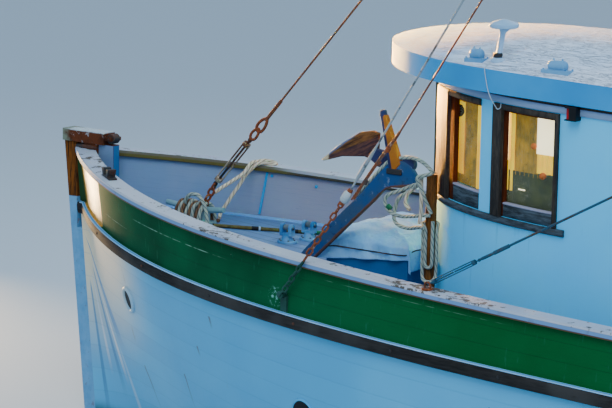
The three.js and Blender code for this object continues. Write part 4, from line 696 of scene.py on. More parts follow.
def softened(nodeName, finish, bevel, narrow=1.0):
    # a merged copy of a node, its flat faces joined and its edges eased, its fore end made narrower
    bm = bmesh.new()
    bm.from_mesh(nodes[nodeName].data)
    bmesh.ops.remove_doubles(bm, verts=bm.verts, dist=0.00005)
    bmesh.ops.dissolve_limit(bm, angle_limit=radians(1), verts=bm.verts, edges=bm.edges)
    bmesh.ops.scale(bm, vec=(1, narrow, 1), verts=[v for v in bm.verts if v.co.x > 3])
    return settle(bm, nodeName + "Look", finish, bodyOf[nodeName], nodeName, bevel=bevel)


def facesAt(verts):
    return {face for vert in verts for face in vert.link_faces}


def vertsIn(geom):
    return [item for item in geom if isinstance(item, bmesh.types.BMVert)]


def dressed(verts, material):
    # gives the faces at these vertices one of the finishes
    for face in facesAt(verts):
        face.material_index = material
    return verts


def turnOutward(bm):
    bmesh.ops.recalc_face_normals(bm, faces=bm.faces[:])


def swapSides(bm):
    # what was built to port goes to starboard
    bmesh.ops.scale(bm, vec=(1, -1, 1), verts=bm.verts[:])
    bmesh.ops.reverse_faces(bm, faces=bm.faces[:])


def addBox(bm, low, high, material=0):
    middle = (Vector(low) + Vector(high)) / 2
    place = Matrix.Translation(middle) @ Matrix.Diagonal((*(Vector(high) - Vector(low)), 1))
    return dressed(bmesh.ops.create_cube(bm, size=1, matrix=place)["verts"], material)


def alongTurn(direction, side=None):
    # a turn that carries +Z onto a direction
    z = Vector(direction).normalized()
    guide = Vector(side) if side else (raised(1) if abs(z.z) < 0.9 else Vector((1, 0, 0)))
    x = guide.cross(z).normalized()
    return Matrix((x, z.cross(x), z)).transposed().to_4x4()


def addRod(bm, start, end, radius, endRadius=None, sides=16, material=0):
    a, b = Vector(start), Vector(end)
    place = Matrix.Translation((a + b) / 2) @ alongTurn(b - a)
    made = bmesh.ops.create_cone(bm, cap_ends=True, segments=sides, radius1=radius,
                                 radius2=radius if endRadius is None else endRadius,
                                 depth=(b - a).length, matrix=place)
    return dressed(made["verts"], material)


def ringEdges(bm, ring):
    return [bm.edges.get(pair) for pair in zip(ring, ring[1:] + ring[:1])]


def drawOut(bm, ring):
    # extrudes a closed ring of vertices; the new ring keeps their order
    known = set(ring)
    fresh = {}
    for vert in vertsIn(bmesh.ops.extrude_edge_only(bm, edges=ringEdges(bm, ring))["geom"]):
        for edge in vert.link_edges:
            if edge.other_vert(vert) in known:
                fresh[edge.other_vert(vert)] = vert
    return [fresh[vert] for vert in ring]


def addTube(bm, points, radius, sides=10, material=0, closed=False):
    # a tube drawn out ring by ring; its UV is (turns round, metres along)
    path = [Vector(p) for p in points]
    count = len(path)
    radii = radius if isinstance(radius, (list, tuple)) else [radius] * count
    uvLayer = bm.loops.layers.uv.verify()
    tangents = []
    for k in range(count):
        before = path[(k - 1) % count] if closed else path[max(k - 1, 0)]
        after = path[(k + 1) % count] if closed else path[min(k + 1, count - 1)]
        tangents.append((after - before).normalized())
    turn = alongTurn(tangents[0])
    ring = bmesh.ops.create_circle(bm, cap_ends=False, segments=sides, radius=1)["verts"]
    ring = sorted(ring, key=lambda vert: atan2(vert.co.y, vert.co.x))
    unit = [vert.co.copy() for vert in ring]
    rings = []
    walked = [0]
    for k in range(count):
        if k:
            turn = tangents[k - 1].rotation_difference(tangents[k]).to_matrix().to_4x4() @ turn
            walked.append(walked[-1] + (path[k] - path[k - 1]).length)
            ring = drawOut(bm, ring)
        for vert, spot in zip(ring, unit):
            vert.co = path[k] + (turn @ (spot * radii[k]))
        rings.append(ring)
    place = {vert: (k, i) for k, ringVerts in enumerate(rings) for i, vert in enumerate(ringVerts)}
    ends = [ringEdges(bm, end) for end in (rings[0], rings[-1])]
    if closed:
        bmesh.ops.bridge_loops(bm, edges=ends[0] + ends[1])
    else:
        for edges in ends:
            bmesh.ops.edgeloop_fill(bm, edges=edges)
    faces = facesAt(dressed(place, material))
    for face in faces:
        columns = [place[loop.vert][1] for loop in face.loops]
        wraps = 0 in columns and sides - 1 in columns
        for loop in face.loops:
            k, i = place[loop.vert]
            column = i + sides if wraps and i == 0 else i
            loop[uvLayer].uv = (column / sides, walked[k])
    bmesh.ops.recalc_face_normals(bm, faces=list(faces))
    return list(place)


def around(count):
    # equal steps round a circle, as (cosine, sine)
    return [(cos(2 * pi * i / count), sin(2 * pi * i / count)) for i in range(count)]


def raised(height):
    return Vector((0, 0, height))


def between(a, b, t):
    return Vector(a).lerp(Vector(b), t)


def addSleeve(bm, line, low, high, radius, endRadius=None, sides=16, material=0):
    # a rod over a part of a line, from one share of its length to another
    return addRod(bm, between(*line, low), between(*line, high), radius, endRadius, sides, material)


def smoothPath(points, steps=6):
    # a rounded line through the points, as evenly stepped as they are
    path = [Vector(p) for p in points]
    out = []
    for k in range(len(path) - 1):
        p0, p1, p2 = path[max(k - 1, 0)], path[k], path[k + 1]
        p3 = path[min(k + 2, len(path) - 1)]
        for j in range(steps):
            t = j / steps
            out.append(0.5 * ((2 * p1) + (p2 - p0) * t + (2 * p0 - 5 * p1 + 4 * p2 - p3) * t * t
                              + (3 * p1 - p0 - 3 * p2 + p3) * t ** 3))
    out.append(path[-1])
    return out


def evenPath(points, step, passes=4):
    # the same line in short equal steps, its corners eased
    out, carry = [Vector(points[0])], step
    for a, b in zip(points, points[1:]):
        start, long = Vector(a), (Vector(b) - Vector(a)).length
        while carry < long:
            out.append(start.lerp(Vector(b), carry / long))
            carry += step
        carry -= long
    out[-1] = Vector(points[-1])
    for k in range(passes):
        out = out[:1] + [(p + q * 2 + r) / 4 for p, q, r in zip(out, out[1:], out[2:])] + out[-1:]
    return out


def mirrorToStarboard(bm):
    bmesh.ops.mirror(bm, geom=bm.verts[:] + bm.edges[:] + bm.faces[:], matrix=Matrix.Identity(4),
                     merge_dist=0.0001, axis="Y")
    turnOutward(bm)


# the boat's lines, in metres behind the bow
lines = {"bow": 4.8, "length": 9.6, "keelHalf": 0.052, "deckCrown": 0.05, "capThick": 0.045}
bow = lines["bow"]


def railHalf(s):
    bluff = 1.157 * (1 - (1 - min(s / 4.664, 1)) ** 3.66)
    return (0.066 + bluff + 0.029 * min(s, 5.3)) * (1 - 0.2 * (max(0, s - 5.3) / 4.3) ** 2)


def railZ(s):
    return 1.62 + 0.007576 * (6.6 - s) ** 2


def deckEdge(s):
    return railZ(s) - 0.335 - 0.055 * max(0, 1 - s / 5) ** 1.25


def plankHalf(s):
    return max(lines["keelHalf"], railHalf(s) - 0.073 + 0.02 * min(s, 4))


def topHalf(s):
    return max(lines["keelHalf"], railHalf(s) - 0.035)


def deckZ(x, y):
    s = bow - x
    return deckEdge(s) + lines["deckCrown"] * (1 - (y / plankHalf(s)) ** 2)


def bowShift(s, z):
    foot = max(0, -z - 0.1)
    back = 0.1 * (railZ(0) - z) + 1.75 * foot * foot + 0.5 * foot
    return -back * (1 - min(s / 4.7, 1)) ** 2


def planPoint(half, s, inboard, z):
    step = 0.005
    slope = (half(s + step) - half(max(0, s - step))) / (s + step if s < step else 2 * step)
    norm = hypot(1, slope)
    return Vector((bow - s - inboard * slope / norm + bowShift(s, z), half(s) - inboard / norm, z))


def onTable(rows, s):
    # a smooth value of each column of a table at s
    k = 0
    while k + 2 < len(rows) and rows[k + 1][0] < s:
        k += 1
    a, b = rows[k], rows[k + 1]
    before, after = rows[max(k - 1, 0)], rows[min(k + 2, len(rows) - 1)]
    t = (s - a[0]) / (b[0] - a[0])
    out = []
    for i in range(1, len(a)):
        inSlope = (b[i] - before[i]) / (b[0] - before[0]) * (b[0] - a[0])
        outSlope = (after[i] - a[i]) / (after[0] - a[0]) * (b[0] - a[0])
        if (b[i] - a[i]) * inSlope <= 0:
            inSlope = 0
        if (b[i] - a[i]) * outSlope <= 0:
            outSlope = 0
        out.append((2 * t ** 3 - 3 * t * t + 1) * a[i] + (t ** 3 - 2 * t * t + t) * inSlope
                   + (3 * t * t - 2 * t ** 3) * b[i] + (t ** 3 - t * t) * outSlope)
    return out


hullSections = [
    # behind the bow, bilge out, bilge up, side out, side up
    (0, 1, 0.3, 1, 0.7), (0.15, 0.35, 0.25, 0.55, 0.62), (0.45, 0.22, 0.22, 0.6, 0.6),
    (0.98, 0.25, 0.16, 0.72, 0.55), (1.8, 0.42, 0.08, 0.85, 0.48), (3.0, 0.66, 0.03, 0.96, 0.4),
    (4.664, 0.84, 0.02, 1.03, 0.36), (7.2, 0.8, 0.03, 1.02, 0.4), (9.6, 0.62, 0.08, 1, 0.5),
]


def hullPoint(s, t):
    bilgeOut, bilgeUp, sideOut, sideUp = onTable(hullSections, s)
    half, keel = plankHalf(s), lines["keelHalf"]
    low = -0.72 + 0.57 * max(0, (s - 6) / 3.6) ** 1.8
    high = deckEdge(s) - 0.04
    deep = high - low
    outs = [keel, max(keel, half * bilgeOut), max(keel, half * sideOut), half]
    ups = [low, low + deep * bilgeUp, low + deep * sideUp, high]
    weights = [(1 - t) ** 3, 3 * t * (1 - t) ** 2, 3 * t * t * (1 - t), t ** 3]
    y = sum(w * v for w, v in zip(weights, outs))
    z = sum(w * v for w, v in zip(weights, ups))
    return Vector((bow - s + bowShift(s, z), y, z))


def hullSide(x, z):
    # the skin's point at a place along and a height
    low, high = 0, 1.0
    s = bow - x
    for halving in range(40):
        middle = (low + high) / 2
        low, high = (middle, high) if hullPoint(s, middle).z < z else (low, middle)
    point = hullPoint(s, low)
    for step in range(6):
        s += point.x - x
        point = hullPoint(s, low)
    return point


def skin(bm, columns, rows, place, uvPlace=None):
    # a grid laid over a surface: place(column, row) gives each point, whose UV is (column, row) if not stated
    made = bmesh.ops.create_grid(bm, x_segments=len(columns) - 1, y_segments=len(rows) - 1, size=0.5)["verts"]
    uvLayer = bm.loops.layers.uv.verify()
    spot = {}
    for vert in made:
        i = round((vert.co.x + 0.5) * (len(columns) - 1))
        j = round((vert.co.y + 0.5) * (len(rows) - 1))
        spot[vert] = (columns[i], rows[j])
        vert.co = place(*spot[vert])
    for face in facesAt(made):
        for loop in face.loops:
            loop[uvLayer].uv = uvPlace(*spot[loop.vert]) if uvPlace else spot[loop.vert]
    return made


def spaced(start, end, count, bias=1.0):
    return [start + (end - start) * (k / count) ** bias for k in range(count + 1)]


# hull
hullLook = {"columns": 150, "rows": 40, "columnBias": 1.7}
columns = spaced(0, lines["length"], hullLook["columns"], hullLook["columnBias"])
rows = spaced(0, 1, hullLook["rows"])
girths = {}
for s in columns:
    walked = [0]
    for a, b in zip(rows, rows[1:]):
        walked.append(walked[-1] + (hullPoint(s, b) - hullPoint(s, a)).length)
    girths[s] = {row: w / walked[-1] for row, w in zip(rows, walked)}
bm = bmesh.new()
skin(bm, columns, rows, hullPoint, lambda s, t: (s, girths[s][t]))
mirrorToStarboard(bm)
sternX = 0.001 - lines["length"] / 2
sternEdges = [edge for edge in bm.edges if edge.is_boundary and all(vert.co.x < sternX for vert in edge.verts)]
transom = vertsIn(bmesh.ops.extrude_edge_only(bm, edges=sternEdges)["geom"])
bmesh.ops.scale(bm, vec=(1, 0, 1), verts=transom)
bmesh.ops.remove_doubles(bm, verts=transom, dist=0.0001)
turnOutward(bm)
settle(bm, "hullSkin", "hull", replaces="hull", smooth=50)
print("hull planked")


# bulwarks, rails, guards and the waterway
def railStrip(bm, corners, stations, materials, rows=1, closed=True):
    # a section of [half curve, inboard, height curve] carried along the side; UV in metres
    ring = corners + corners[:1] if closed else corners
    for k, (first, second) in enumerate(zip(ring, ring[1:])):
        def place(s, t, a=first, b=second):
            halfAt = a[0](s) * (1 - t) + b[0](s) * t
            high = a[2](s) * (1 - t) + b[2](s) * t
            slopeHalf = a[0] if t < 0.5 else b[0]
            spot = planPoint(slopeHalf, s, a[1] * (1 - t) + b[1] * t, high)
            spot.y += halfAt - slopeHalf(s)
            return spot
        wide = (place(3.0, 1) - place(3.0, 0)).length
        made = skin(bm, stations, spaced(0, 1, rows), place, lambda s, t, w=wide: (s, t * w))
        dressed(made, materials[k % len(materials)])


def finishStrip(bm, name, names, replaces=(), bevel=None, smooth=30):
    bmesh.ops.remove_doubles(bm, verts=bm.verts[:], dist=0.0003)
    bmesh.ops.bisect_plane(bm, geom=bm.verts[:] + bm.edges[:] + bm.faces[:], dist=0.00001,
                           plane_co=(0, 0.0002, 0), plane_no=(0, 1, 0), clear_inner=True)
    turnOutward(bm)
    mirrorToStarboard(bm)
    return settle(bm, name, names, replaces=replaces, bevel=bevel, smooth=smooth)


def onSide(half, s, inboard, z, side):
    # a point by the port or the starboard side
    spot = planPoint(half, s, inboard, z)
    return Vector((spot.x, spot.y * side, spot.z))


def aboveEdge(height):
    # a height over the deck's edge, as a function of the place along
    return lambda s: deckEdge(s) + height


def underTop(depth):
    return lambda s: railZ(s) - depth


underCap = underTop(lines["capThick"])


board = {"thick": 0.08, "endS": 9.52, "steps": 170, "bias": 1.5}
bm = bmesh.new()
railStrip(bm, [(plankHalf, 0, deckEdge), (topHalf, 0, underCap), (topHalf, board["thick"], underCap),
               (plankHalf, board["thick"], deckEdge)],
          spaced(0, board["endS"], board["steps"], board["bias"]), [0, 1, 1, 1], rows=6)
finishStrip(bm, "bulwarkBoards", ["green", "lilac"], ["bulwark_port", "bulwark_starboard"], 0.003)

bm = bmesh.new()
railStrip(bm, [(railHalf, inboard, high) for inboard, high in (
    (0, underCap), (0, underTop(0.014)), (0.004, railZ), (0.138, railZ), (0.142, underCap))],
    spaced(0, 9.458, board["steps"], board["bias"]), [1, 0, 0, 2, 2])
finishStrip(bm, "capRails", ["cap", "capOuter", "capInner"], ["cap_rail_port", "cap_rail_starboard"], 0.004)
softened("cap_rail_stern", "cap", 0.006)
softened("bulwark_transom", "green", 0.004)

guard = {
    # inboard, over the deck's edge
    "timber": [(-0.034, -0.084), (-0.0405, -0.066), (-0.0405, -0.024), (-0.03, -0.006), (0.03, -0.004),
               (0.03, -0.084)],
    "line": [(-0.036, -0.007), (-0.03, -0.001), (-0.02, 0.001), (-0.014, 0.002), (-0.003, 0.006), (0.004, 0.006)],
}
bm = bmesh.new()
railStrip(bm, [(plankHalf, inboard, aboveEdge(high)) for inboard, high in guard["timber"]],
          spaced(0, lines["length"], board["steps"], board["bias"]), [0])
finishStrip(bm, "guardTimbers", "guard", ["guard_port", "guard_starboard"], 0.003, smooth=50)

bm = bmesh.new()
railStrip(bm, [(plankHalf, inboard, aboveEdge(high)) for inboard, high in guard["line"]],
          spaced(0.02, 9.59, board["steps"], board["bias"]), [0, 1, 0, 2, 2], closed=False)
finishStrip(bm, "guardLine", ["paleBlue", "fascia", "green"], smooth=60)


def waterwayAt(s, across):
    spot = planPoint(plankHalf, s, across, 0)
    spot.z = deckZ(spot.x, max(0, spot.y)) + 0.006
    return spot


waterway = {"outer": 0.078, "inner": 0.16, "deep": 0.012}
waterwayColumns = spaced(0.2, 9.5, 150, 1.2)
bm = bmesh.new()
skin(bm, waterwayColumns, [waterway["outer"], waterway["inner"]], waterwayAt)
skin(bm, waterwayColumns, [0, 1], lambda s, t: waterwayAt(s, waterway["inner"]) - raised(waterway["deep"] * t))
finishStrip(bm, "waterway", "waterway")

# one thin batten up the inside of each bulwark, leaning with the planking, and two bolt heads abaft it
batten = {"foot": 1.045, "head": 1.1, "wide": 0.015, "near": 0.079, "far": 0.092,
          "bolts": ((1.13, 0.92), (1.44, 0.82))}
bm = bmesh.new()
for side in (1, -1):
    for vert in addBox(bm, (-1, -1, -1), (1, 1, 1)):
        low = vert.co.z < 0
        at = batten["foot" if low else "head"] - vert.co.x * batten["wide"] / 2
        vert.co = onSide(plankHalf if low else topHalf, at, batten["near" if vert.co.y > 0 else "far"],
                         deckEdge(at) + 0.02 if low else underCap(at) - 0.004, side)
turnOutward(bm)
for s, share in batten["bolts"]:
    for side in (1, -1):
        ends = [onSide(lambda at: plankHalf(at) * (1 - share) + topHalf(at) * share, s, deep,
                       deckEdge(s) * (1 - share) + underCap(s) * share, side) for deep in (0.078, 0.092)]
        addRod(bm, *ends, 0.013, 0.009, 10)
settle(bm, "bulwarkBattens", "fascia", bevel=0.002)

bm = bmesh.new()
for k in range(12):
    s = 0.62 + 0.78 * k
    for side in (1, -1):
        ends = [onSide(plankHalf, s, -deep, deckEdge(s) - 0.044, side) for deep in (0.034, 0.0448)]
        addRod(bm, *ends, 0.012, 0.009, 8)
settle(bm, "guardBolts", "darkRust")
print("rails fitted")

# openings in the hull side, each a ring round a black disc of painted shade; linings of the well and the fish hold
sideHoles = [
    # x, z, radius, lip, proud: the hawse hole and the outlet
    (3.79, 1.06, 0.068, 0.024, 0.016), (1.821, 0.735, 0.088, 0.012, 0.006),
]
bm = bmesh.new()
for x, z, radius, lip, proud in sideHoles:
    centre = hullSide(x, z)
    out = (hullSide(x - 0.05, z) - hullSide(x + 0.05, z)).cross(hullSide(x, z + 0.05) - hullSide(x, z - 0.05))
    out = out.normalized() if out.y > 0 else -out.normalized()
    for side in (1, -1):
        spot = Vector((centre.x, centre.y * side, centre.z))
        facing = Vector((out.x, out.y * side, out.z))
        turn = Matrix.Translation(spot) @ alongTurn(facing)
        reach = radius + lip * 0.55
        ring = [turn @ Vector((c * reach, s * reach, proud * 0.2)) for c, s in around(40)]
        addTube(bm, ring, lip * 0.62, 10, 0, closed=True)
        # a black disc just inside the ring: painted shade in place of the hole
        shadeDisc = bmesh.ops.create_circle(bm, cap_ends=True, segments=40, radius=radius + lip * 0.3,
                                       matrix=turn @ Matrix.Translation((0, 0, 0.004)))["verts"]
        dressed(shadeDisc, 1)
settle(bm, "hawseRings", ["hull", "black"], smooth=60)

lining = [
    # low corner, high corner of each open-topped room under the deck: well, engine room, fish hold
    ((-1.13, -0.76, 0.94), (1.18, 0.76, 1.43)), ((-0.75, -0.33, -0.26), (0.45, 0.33, 0.94)),
    ((-3.28, -0.33, 0.645), (-2.62, 0.33, 1.35)),
]
bm = bmesh.new()
for low, high in lining:
    top = [face for face in facesAt(addBox(bm, low, high)) if face.normal.z > 0.9]
    bmesh.ops.delete(bm, geom=top, context="FACES")
bmesh.ops.reverse_faces(bm, faces=bm.faces[:])
settle(bm, "roomLinings", "lilac")

# stem, its head and the bow gear
softened("backbone", "stem", 0.004, narrow=0.9)
softened("stem_head", "head", 0.005)
softened("bow_roller", "darkRust", 0.004)
softened("bow_chock_port", "darkRust", 0.006)

knee = {"aft": 4.4628, "fore": 4.612, "half": 0.0322, "foot": 1.5, "top": 1.984}
bm = bmesh.new()
# the block, and a thin plate on its aft face in darker blue: painted shade on the aft face
for x0, x1, half, material in ((knee["aft"] + 0.001, knee["fore"], knee["half"], 0),
                               (knee["aft"], knee["aft"] + 0.002, knee["half"] - 0.002, 1)):
    addBox(bm, (x0, -half, knee["foot"]), (x1, half, knee["top"]), material)
settle(bm, "stemKnee", ["lilac", "boxBlue"], bevel=0.004)

# worn iron strap under the stem head, lumpy and leafing
bm = bmesh.new()
strap = [(4.795, 0.014), (4.74, 0.024), (4.7, 0.017), (4.665, 0.022), (4.63, 0.013), (4.6, 0.009)]
for side in (-1, 1):
    addTube(bm, [(x, side * 0.051, 1.962 - r * 0.4) for x, r in strap], [r for x, r in strap], 10, 0)
settle(bm, "headStrap", "darkRust", smooth=50)


# mooring cleat with its turns of rope
cleat = {"x": 3.724}
cleatBase = deckZ(cleat["x"], 0)
softened("mooring_cleat", "cleat", 0.008)
# points are given over the deck
bm = bmesh.new()
for k in range(8):
    lean = 0.008 * sin(k * 2.1)
    arch = [(lean, 0.088, 0.016), (0, 0.082, 0.07), (-lean, 0.052, 0.125), (lean, 0, 0.148 + 0.006 * sin(k * 1.7)),
            (-lean, -0.052, 0.125), (0, -0.082, 0.07), (lean, -0.088, 0.016)]
    foot = Vector((cleat["x"] - 0.104 + 0.031 * k, 0, cleatBase))
    addTube(bm, smoothPath([foot + Vector(p) for p in arch], 5), 0.0138, 9, k % 2)
bight = [(3.785, 0.03, 0.1), (3.772, 0.05, 0.155), (3.735, 0.056, 0.198), (3.687, 0.058, 0.212), (3.638, 0.058, 0.2),
         (3.598, 0.058, 0.15), (3.572, 0.06, 0.08), (3.562, 0.062, 0.018)]
addTube(bm, smoothPath([Vector(p) + raised(cleatBase) for p in bight], 6), 0.0135, 10, 0)
for side in (-1, 1):
    rail = [Vector((cleat["x"] + along, side * out, cleatBase + high))
            for along, out, high in ((-0.13, 0.1, 0.014), (0, 0.104, 0.016), (0.13, 0.1, 0.014))]
    addTube(bm, smoothPath(rail, 6), 0.0135, 9, 1)
settle(bm, "cleatTurns", ["greenRope", "brownRope"], smooth=60)


# chains, turnbuckles and stays
def addChain(bm, start, end, pitch, wire, material=0):
    count = max(2, round((Vector(end) - Vector(start)).length / pitch))
    spots = [between(start, end, k / count) for k in range(count + 1)]
    for k in range(count):
        middle = (spots[k] + spots[k + 1]) / 2
        turn = Matrix.Translation(middle) @ alongTurn(spots[k + 1] - spots[k])
        turn = turn @ Matrix.Rotation(radians(90 * (k % 2) + 12 * sin(k * 2.3)), 4, "Z")
        halfLong, halfWide = (spots[k + 1] - spots[k]).length / 2 + wire * 0.1, wire * 1.15
        ring = [turn @ Vector((halfWide * c, 0, halfWide * s + (halfLong - halfWide) * (1 if s > 0 else -1)))
                for c, s in around(16)]
        addTube(bm, ring, wire / 2, 8, material, closed=True)


def addTurnbuckle(bm, start, end, wide, material=0, thread=1):
    # two side bars, a collar at each end and the screws that run into them
    line = (Vector(start), Vector(end))
    turn = alongTurn(line[1] - line[0], (0, 1, 0))
    for sign in (-1, 1):
        off = turn @ Vector((wide * sign, 0, 0))
        addSleeve(bm, [end + off for end in line], 0.12, 0.88, wide * 0.27, None, 10, material)
    for t in (0.1, 0.85):
        addSleeve(bm, line, t, t + 0.05, wide * 1.25, wide * 1.2, 14, material)
    for t0, t1 in ((0.02, 0.49), (0.51, 0.98)):
        addSleeve(bm, line, t0, t1, wide * 0.36, None, 10, thread)
    for t in (0.03, 0.97):
        ring = [between(*line, t) + turn @ Vector((wide * 0.55 * c, 0, wide * 0.8 * s)) for c, s in around(16)]
        addTube(bm, ring, wide * 0.22, 8, thread, closed=True)


def addEye(bm, middle, along, long, wide, wire, material=0, facing=None):
    # a pear-shaped loop that a stay ends in
    turn = alongTurn(along, facing)
    ring = [Vector(middle) + turn @ Vector((wide * (0.775 - 0.225 * s) * c, 0, long * s)) for c, s in around(22)]
    addTube(bm, ring, wire, 8, material, closed=True)


def addStay(bm, start, end, radius, material=0):
    addTube(bm, [between(start, end, k / 24) for k in range(25)], radius, 8, material)


mast = {"x": -1.7, "stayZ": 7.6, "crossZ": 7.35, "crossHalf": 1.0}
foreFoot = Vector((cleat["x"] - 0.084, 0, cleatBase + 0.19))
foreHead = Vector((mast["x"] + 0.07, 0, mast["stayZ"]))
foreStay = (foreFoot, foreHead)
bm = bmesh.new()
addChain(bm, (cleat["x"] - 0.05, 0, cleatBase + 0.08), between(*foreStay, 0.018), 0.05, 0.017, 3)
addTurnbuckle(bm, between(*foreStay, 0.016), between(*foreStay, 0.077), 0.023, 0, 2)
for t, long, wide, wire in ((0.083, 0.05, 0.03, 0.01), (0.0945, 0.06, 0.036, 0.011)):
    addEye(bm, between(*foreStay, t), foreHead - foreFoot, long, wide, wire, 3, (0, 1, 0))
addStay(bm, between(*foreStay, 0.1), foreHead, 0.0075, 1)
addSleeve(bm, foreStay, 0.101, 0.125, 0.0125, material=1)
settle(bm, "forestayGear", ["rustyZinc", "wire", "darkRust", "rust"], replaces="forestay", smooth=60)

shroud = {"plateX": 1.955, "plateZ": 1.455, "edgeX": 1.76, "proud": 0.024}
plateY, edgeY = [railHalf(bow - shroud[key]) + shroud["proud"] for key in ("plateX", "edgeX")]
plateBolt = Vector((shroud["plateX"], plateY, shroud["plateZ"] + 0.02))
edgeEye = Vector((shroud["edgeX"], edgeY, railZ(bow - shroud["edgeX"]) + 0.01))
shroudTop = Vector((mast["x"] + 0.03, 0.062, mast["stayZ"] - 0.06))
crossHead = Vector((mast["x"], mast["crossHalf"] - 0.03, mast["crossZ"]))
for side in ("port", "starboard"):
    bm = bmesh.new()
    for vert in addBox(bm, (-1, -1, -1), (1, 1, 1), 2):
        vert.co = planPoint(plankHalf, bow - shroud["plateX"] - vert.co.x * 0.026, -0.012 if vert.co.y > 0 else 0.02,
                            shroud["plateZ"] + (0.02 if vert.co.z > 0 else -0.16))
    addRod(bm, *[plateBolt + Vector((0, out, 0.01)) for out in (-0.05, 0.004)], 0.024, sides=14, material=2)
    addChain(bm, plateBolt - Vector((0, 0.004, 0)), edgeEye, 0.046, 0.012, 2)
    addChain(bm, edgeEye, between(edgeEye, shroudTop, 0.066), 0.044, 0.012, 0)
    # a chalky shackle block, a grey spliced wire to the crosstree and a rusty wire doubled back through its eye
    block = [between(edgeEye, shroudTop, t) for t in (0.0625, 0.079)]
    for share, wide in ((0, 0.017), (0.72, 0.019)):
        addSleeve(bm, block, share, share + 0.28, wide, wide * 0.8, 14)
    addTube(bm, [between(*block, t) for t in (0.14, 0.2, 0.3, 0.7, 0.8, 0.88)],
            [0.012, 0.022, 0.028, 0.027, 0.022, 0.012], 18, 3)
    addStay(bm, block[1], crossHead, 0.0068, 4)
    splice = [between(block[1], crossHead, t) for t in (0.012, 0.016, 0.04, 0.055)]
    addTube(bm, splice, [0.008, 0.0125, 0.0115, 0.007], 10, 4)
    rusty = [(1.462, 1.22, 2.13), (1.33, 1.18, 2.345), (1.234, 1.14, 2.496), (1.133, 1.09, 2.689),
             (0.78, 0.93, 3.354)]
    upper = [between(rusty[-1], shroudTop, t) for t in (0.25, 0.5, 0.75, 1.0)]
    addTube(bm, smoothPath(rusty, 6) + upper, 0.0058, 8, 1)
    addTube(bm, [p + Vector((0.012, 0.006, -0.004)) for p in smoothPath(rusty[:3], 6)], 0.0056, 8, 1)
    for t in (0.3, 0.62, 0.86):
        spot = between(rusty[0], rusty[2], t)
        addRod(bm, spot + Vector((0.008, 0, -0.012)), spot + Vector((-0.004, 0, 0.012)), 0.0155, sides=12)
    addEye(bm, Vector(rusty[2]) + Vector((-0.012, -0.004, 0.024)), shroudTop - edgeEye, 0.042, 0.024, 0.0078, 1)
    if side == "starboard":
        swapSides(bm)
    settle(bm, "foreShroud_" + side, ["rust", "wire", "greenIron", "chalk", "greyWire"],
           replaces="fore_shroud_" + side, smooth=60)
print("rigging forward done")

# roller stands and the pole
standSpots = {"roller_stand_port": (2.965, -0.068), "roller_stand_starboard": (2.935, -0.274)}
standBoxes = [
    # fore and aft ends, low, high, over the stand's foot
    (-0.05, 0.05, 0.047, 0.067), (-0.05, -0.024, 0.064, 0.107), (0.024, 0.05, 0.064, 0.107),
]
standPins = [
    # ends, height, radius, sides, finish
    (-0.05, -0.024, 0.107, 0.0247, 24, 0), (0.024, 0.05, 0.107, 0.0247, 24, 0),
    (-0.054, 0.054, 0.104, 0.009, 14, 1), (-0.021, 0.021, 0.104, 0.02, 20, 1),
]
for name, (x, y) in standSpots.items():
    foot = Vector((x, y, deckZ(x, y)))
    bm = bmesh.new()
    for k in range(6):
        angle = pi * k / 3 + 0.3
        bolt = foot + Vector((0.054 * cos(angle), 0.054 * sin(angle), 0.0155))
        addRod(bm, bolt, bolt + raised(0.009), 0.009, 0.008, 6, 1)
    addRod(bm, foot - raised(0.004), foot + raised(0.0155), 0.0675, sides=32)
    addRod(bm, foot + raised(0.014), foot + raised(0.052), 0.042, 0.03, 24)
    for x0, x1, low, high in standBoxes:
        addBox(bm, foot + Vector((x0, -0.0245, low)), foot + Vector((x1, 0.0245, high)))
    for x0, x1, z, radius, sides, material in standPins:
        addRod(bm, foot + Vector((x0, 0, z)), foot + Vector((x1, 0, z)), radius, sides=sides, material=material)
    settle(bm, name + "Look", ["castBlue", "machine"], replaces=name, bevel=0.004)

pole = {"from": (3.56, 0.01), "to": (2.95, -0.503), "lift": 0.014}
poleEnds = [Vector((x, y, deckZ(x, y) + pole["lift"])) for x, y in (pole["from"], pole["to"])]
poleParts = [
    # share along from, to, radius, finish
    (0, 1.0, 0.0128, 0), (0.34, 0.398, 0.0146, 1), (0.402, 0.418, 0.0152, 2), (0.7, 0.745, 0.0138, 1),
    (0, 0.01, 0.014, 1), (0.9, 1.0, 0.0136, 3),
]
bm = bmesh.new()
for start, end, radius, material in poleParts:
    addSleeve(bm, poleEnds, start, end, radius, None, 20, material)
settle(bm, "deckPoleLook", ["poleWood", "black", "white", "poleGreen"],
       replaces="deck_pole", smooth=50)

# the free rope at the bow, the cord on the roof and the hank on the post
def cordPiece(name, path, radius, sides, finish, replaces):
    bm = bmesh.new()
    addTube(bm, path, radius, sides)
    piece = settle(bm, name, finish, replaces=replaces, smooth=70)
    long = sum((b - a).length for a, b in zip(path, path[1:]))
    tuple(path[0])
    [tuple(p) for p in path]
    print(name, "laid,", round(long, 2), "m")


bowRope = {"radius": 0.013, "points": [
    (3.578, -0.03, 1.75), (3.618, -0.18, 1.77), (3.66, -0.34, 1.789), (3.7, -0.5, 1.815),
    (3.733, -0.62, 1.867), (3.756, -0.73, 1.866), (3.748, -0.8, 1.865), (3.695, -0.816, 1.8605),
    (3.634, -0.788, 1.856), (3.632, -0.73, 1.856), (3.69, -0.655, 1.865), (3.724, -0.565, 1.8),
    (3.712, -0.47, 1.734), (3.697, -0.38, 1.683), (3.687, -0.3, 1.625), (3.69, -0.24, 1.57),
    (3.66, -0.185, 1.54)]}
cordPiece("bowRopeStrand", smoothPath(bowRope["points"], 6), bowRope["radius"], 12, "paleRope", "bow_rope")

roof = {"noseX": 1.993, "frontDepth": 1.465, "half": 0.887, "taper": 0.03, "length": 3.43, "edge": 0.137,
             "crown": 0.16, "n": 2.361, "m": 1.478}
house = {"noseX": 1.553, "frontDepth": 1.308, "half": 0.8635, "taper": 0.026, "length": 2.8, "wall": 0.045,
              "n": 1.978, "m": 2.212}


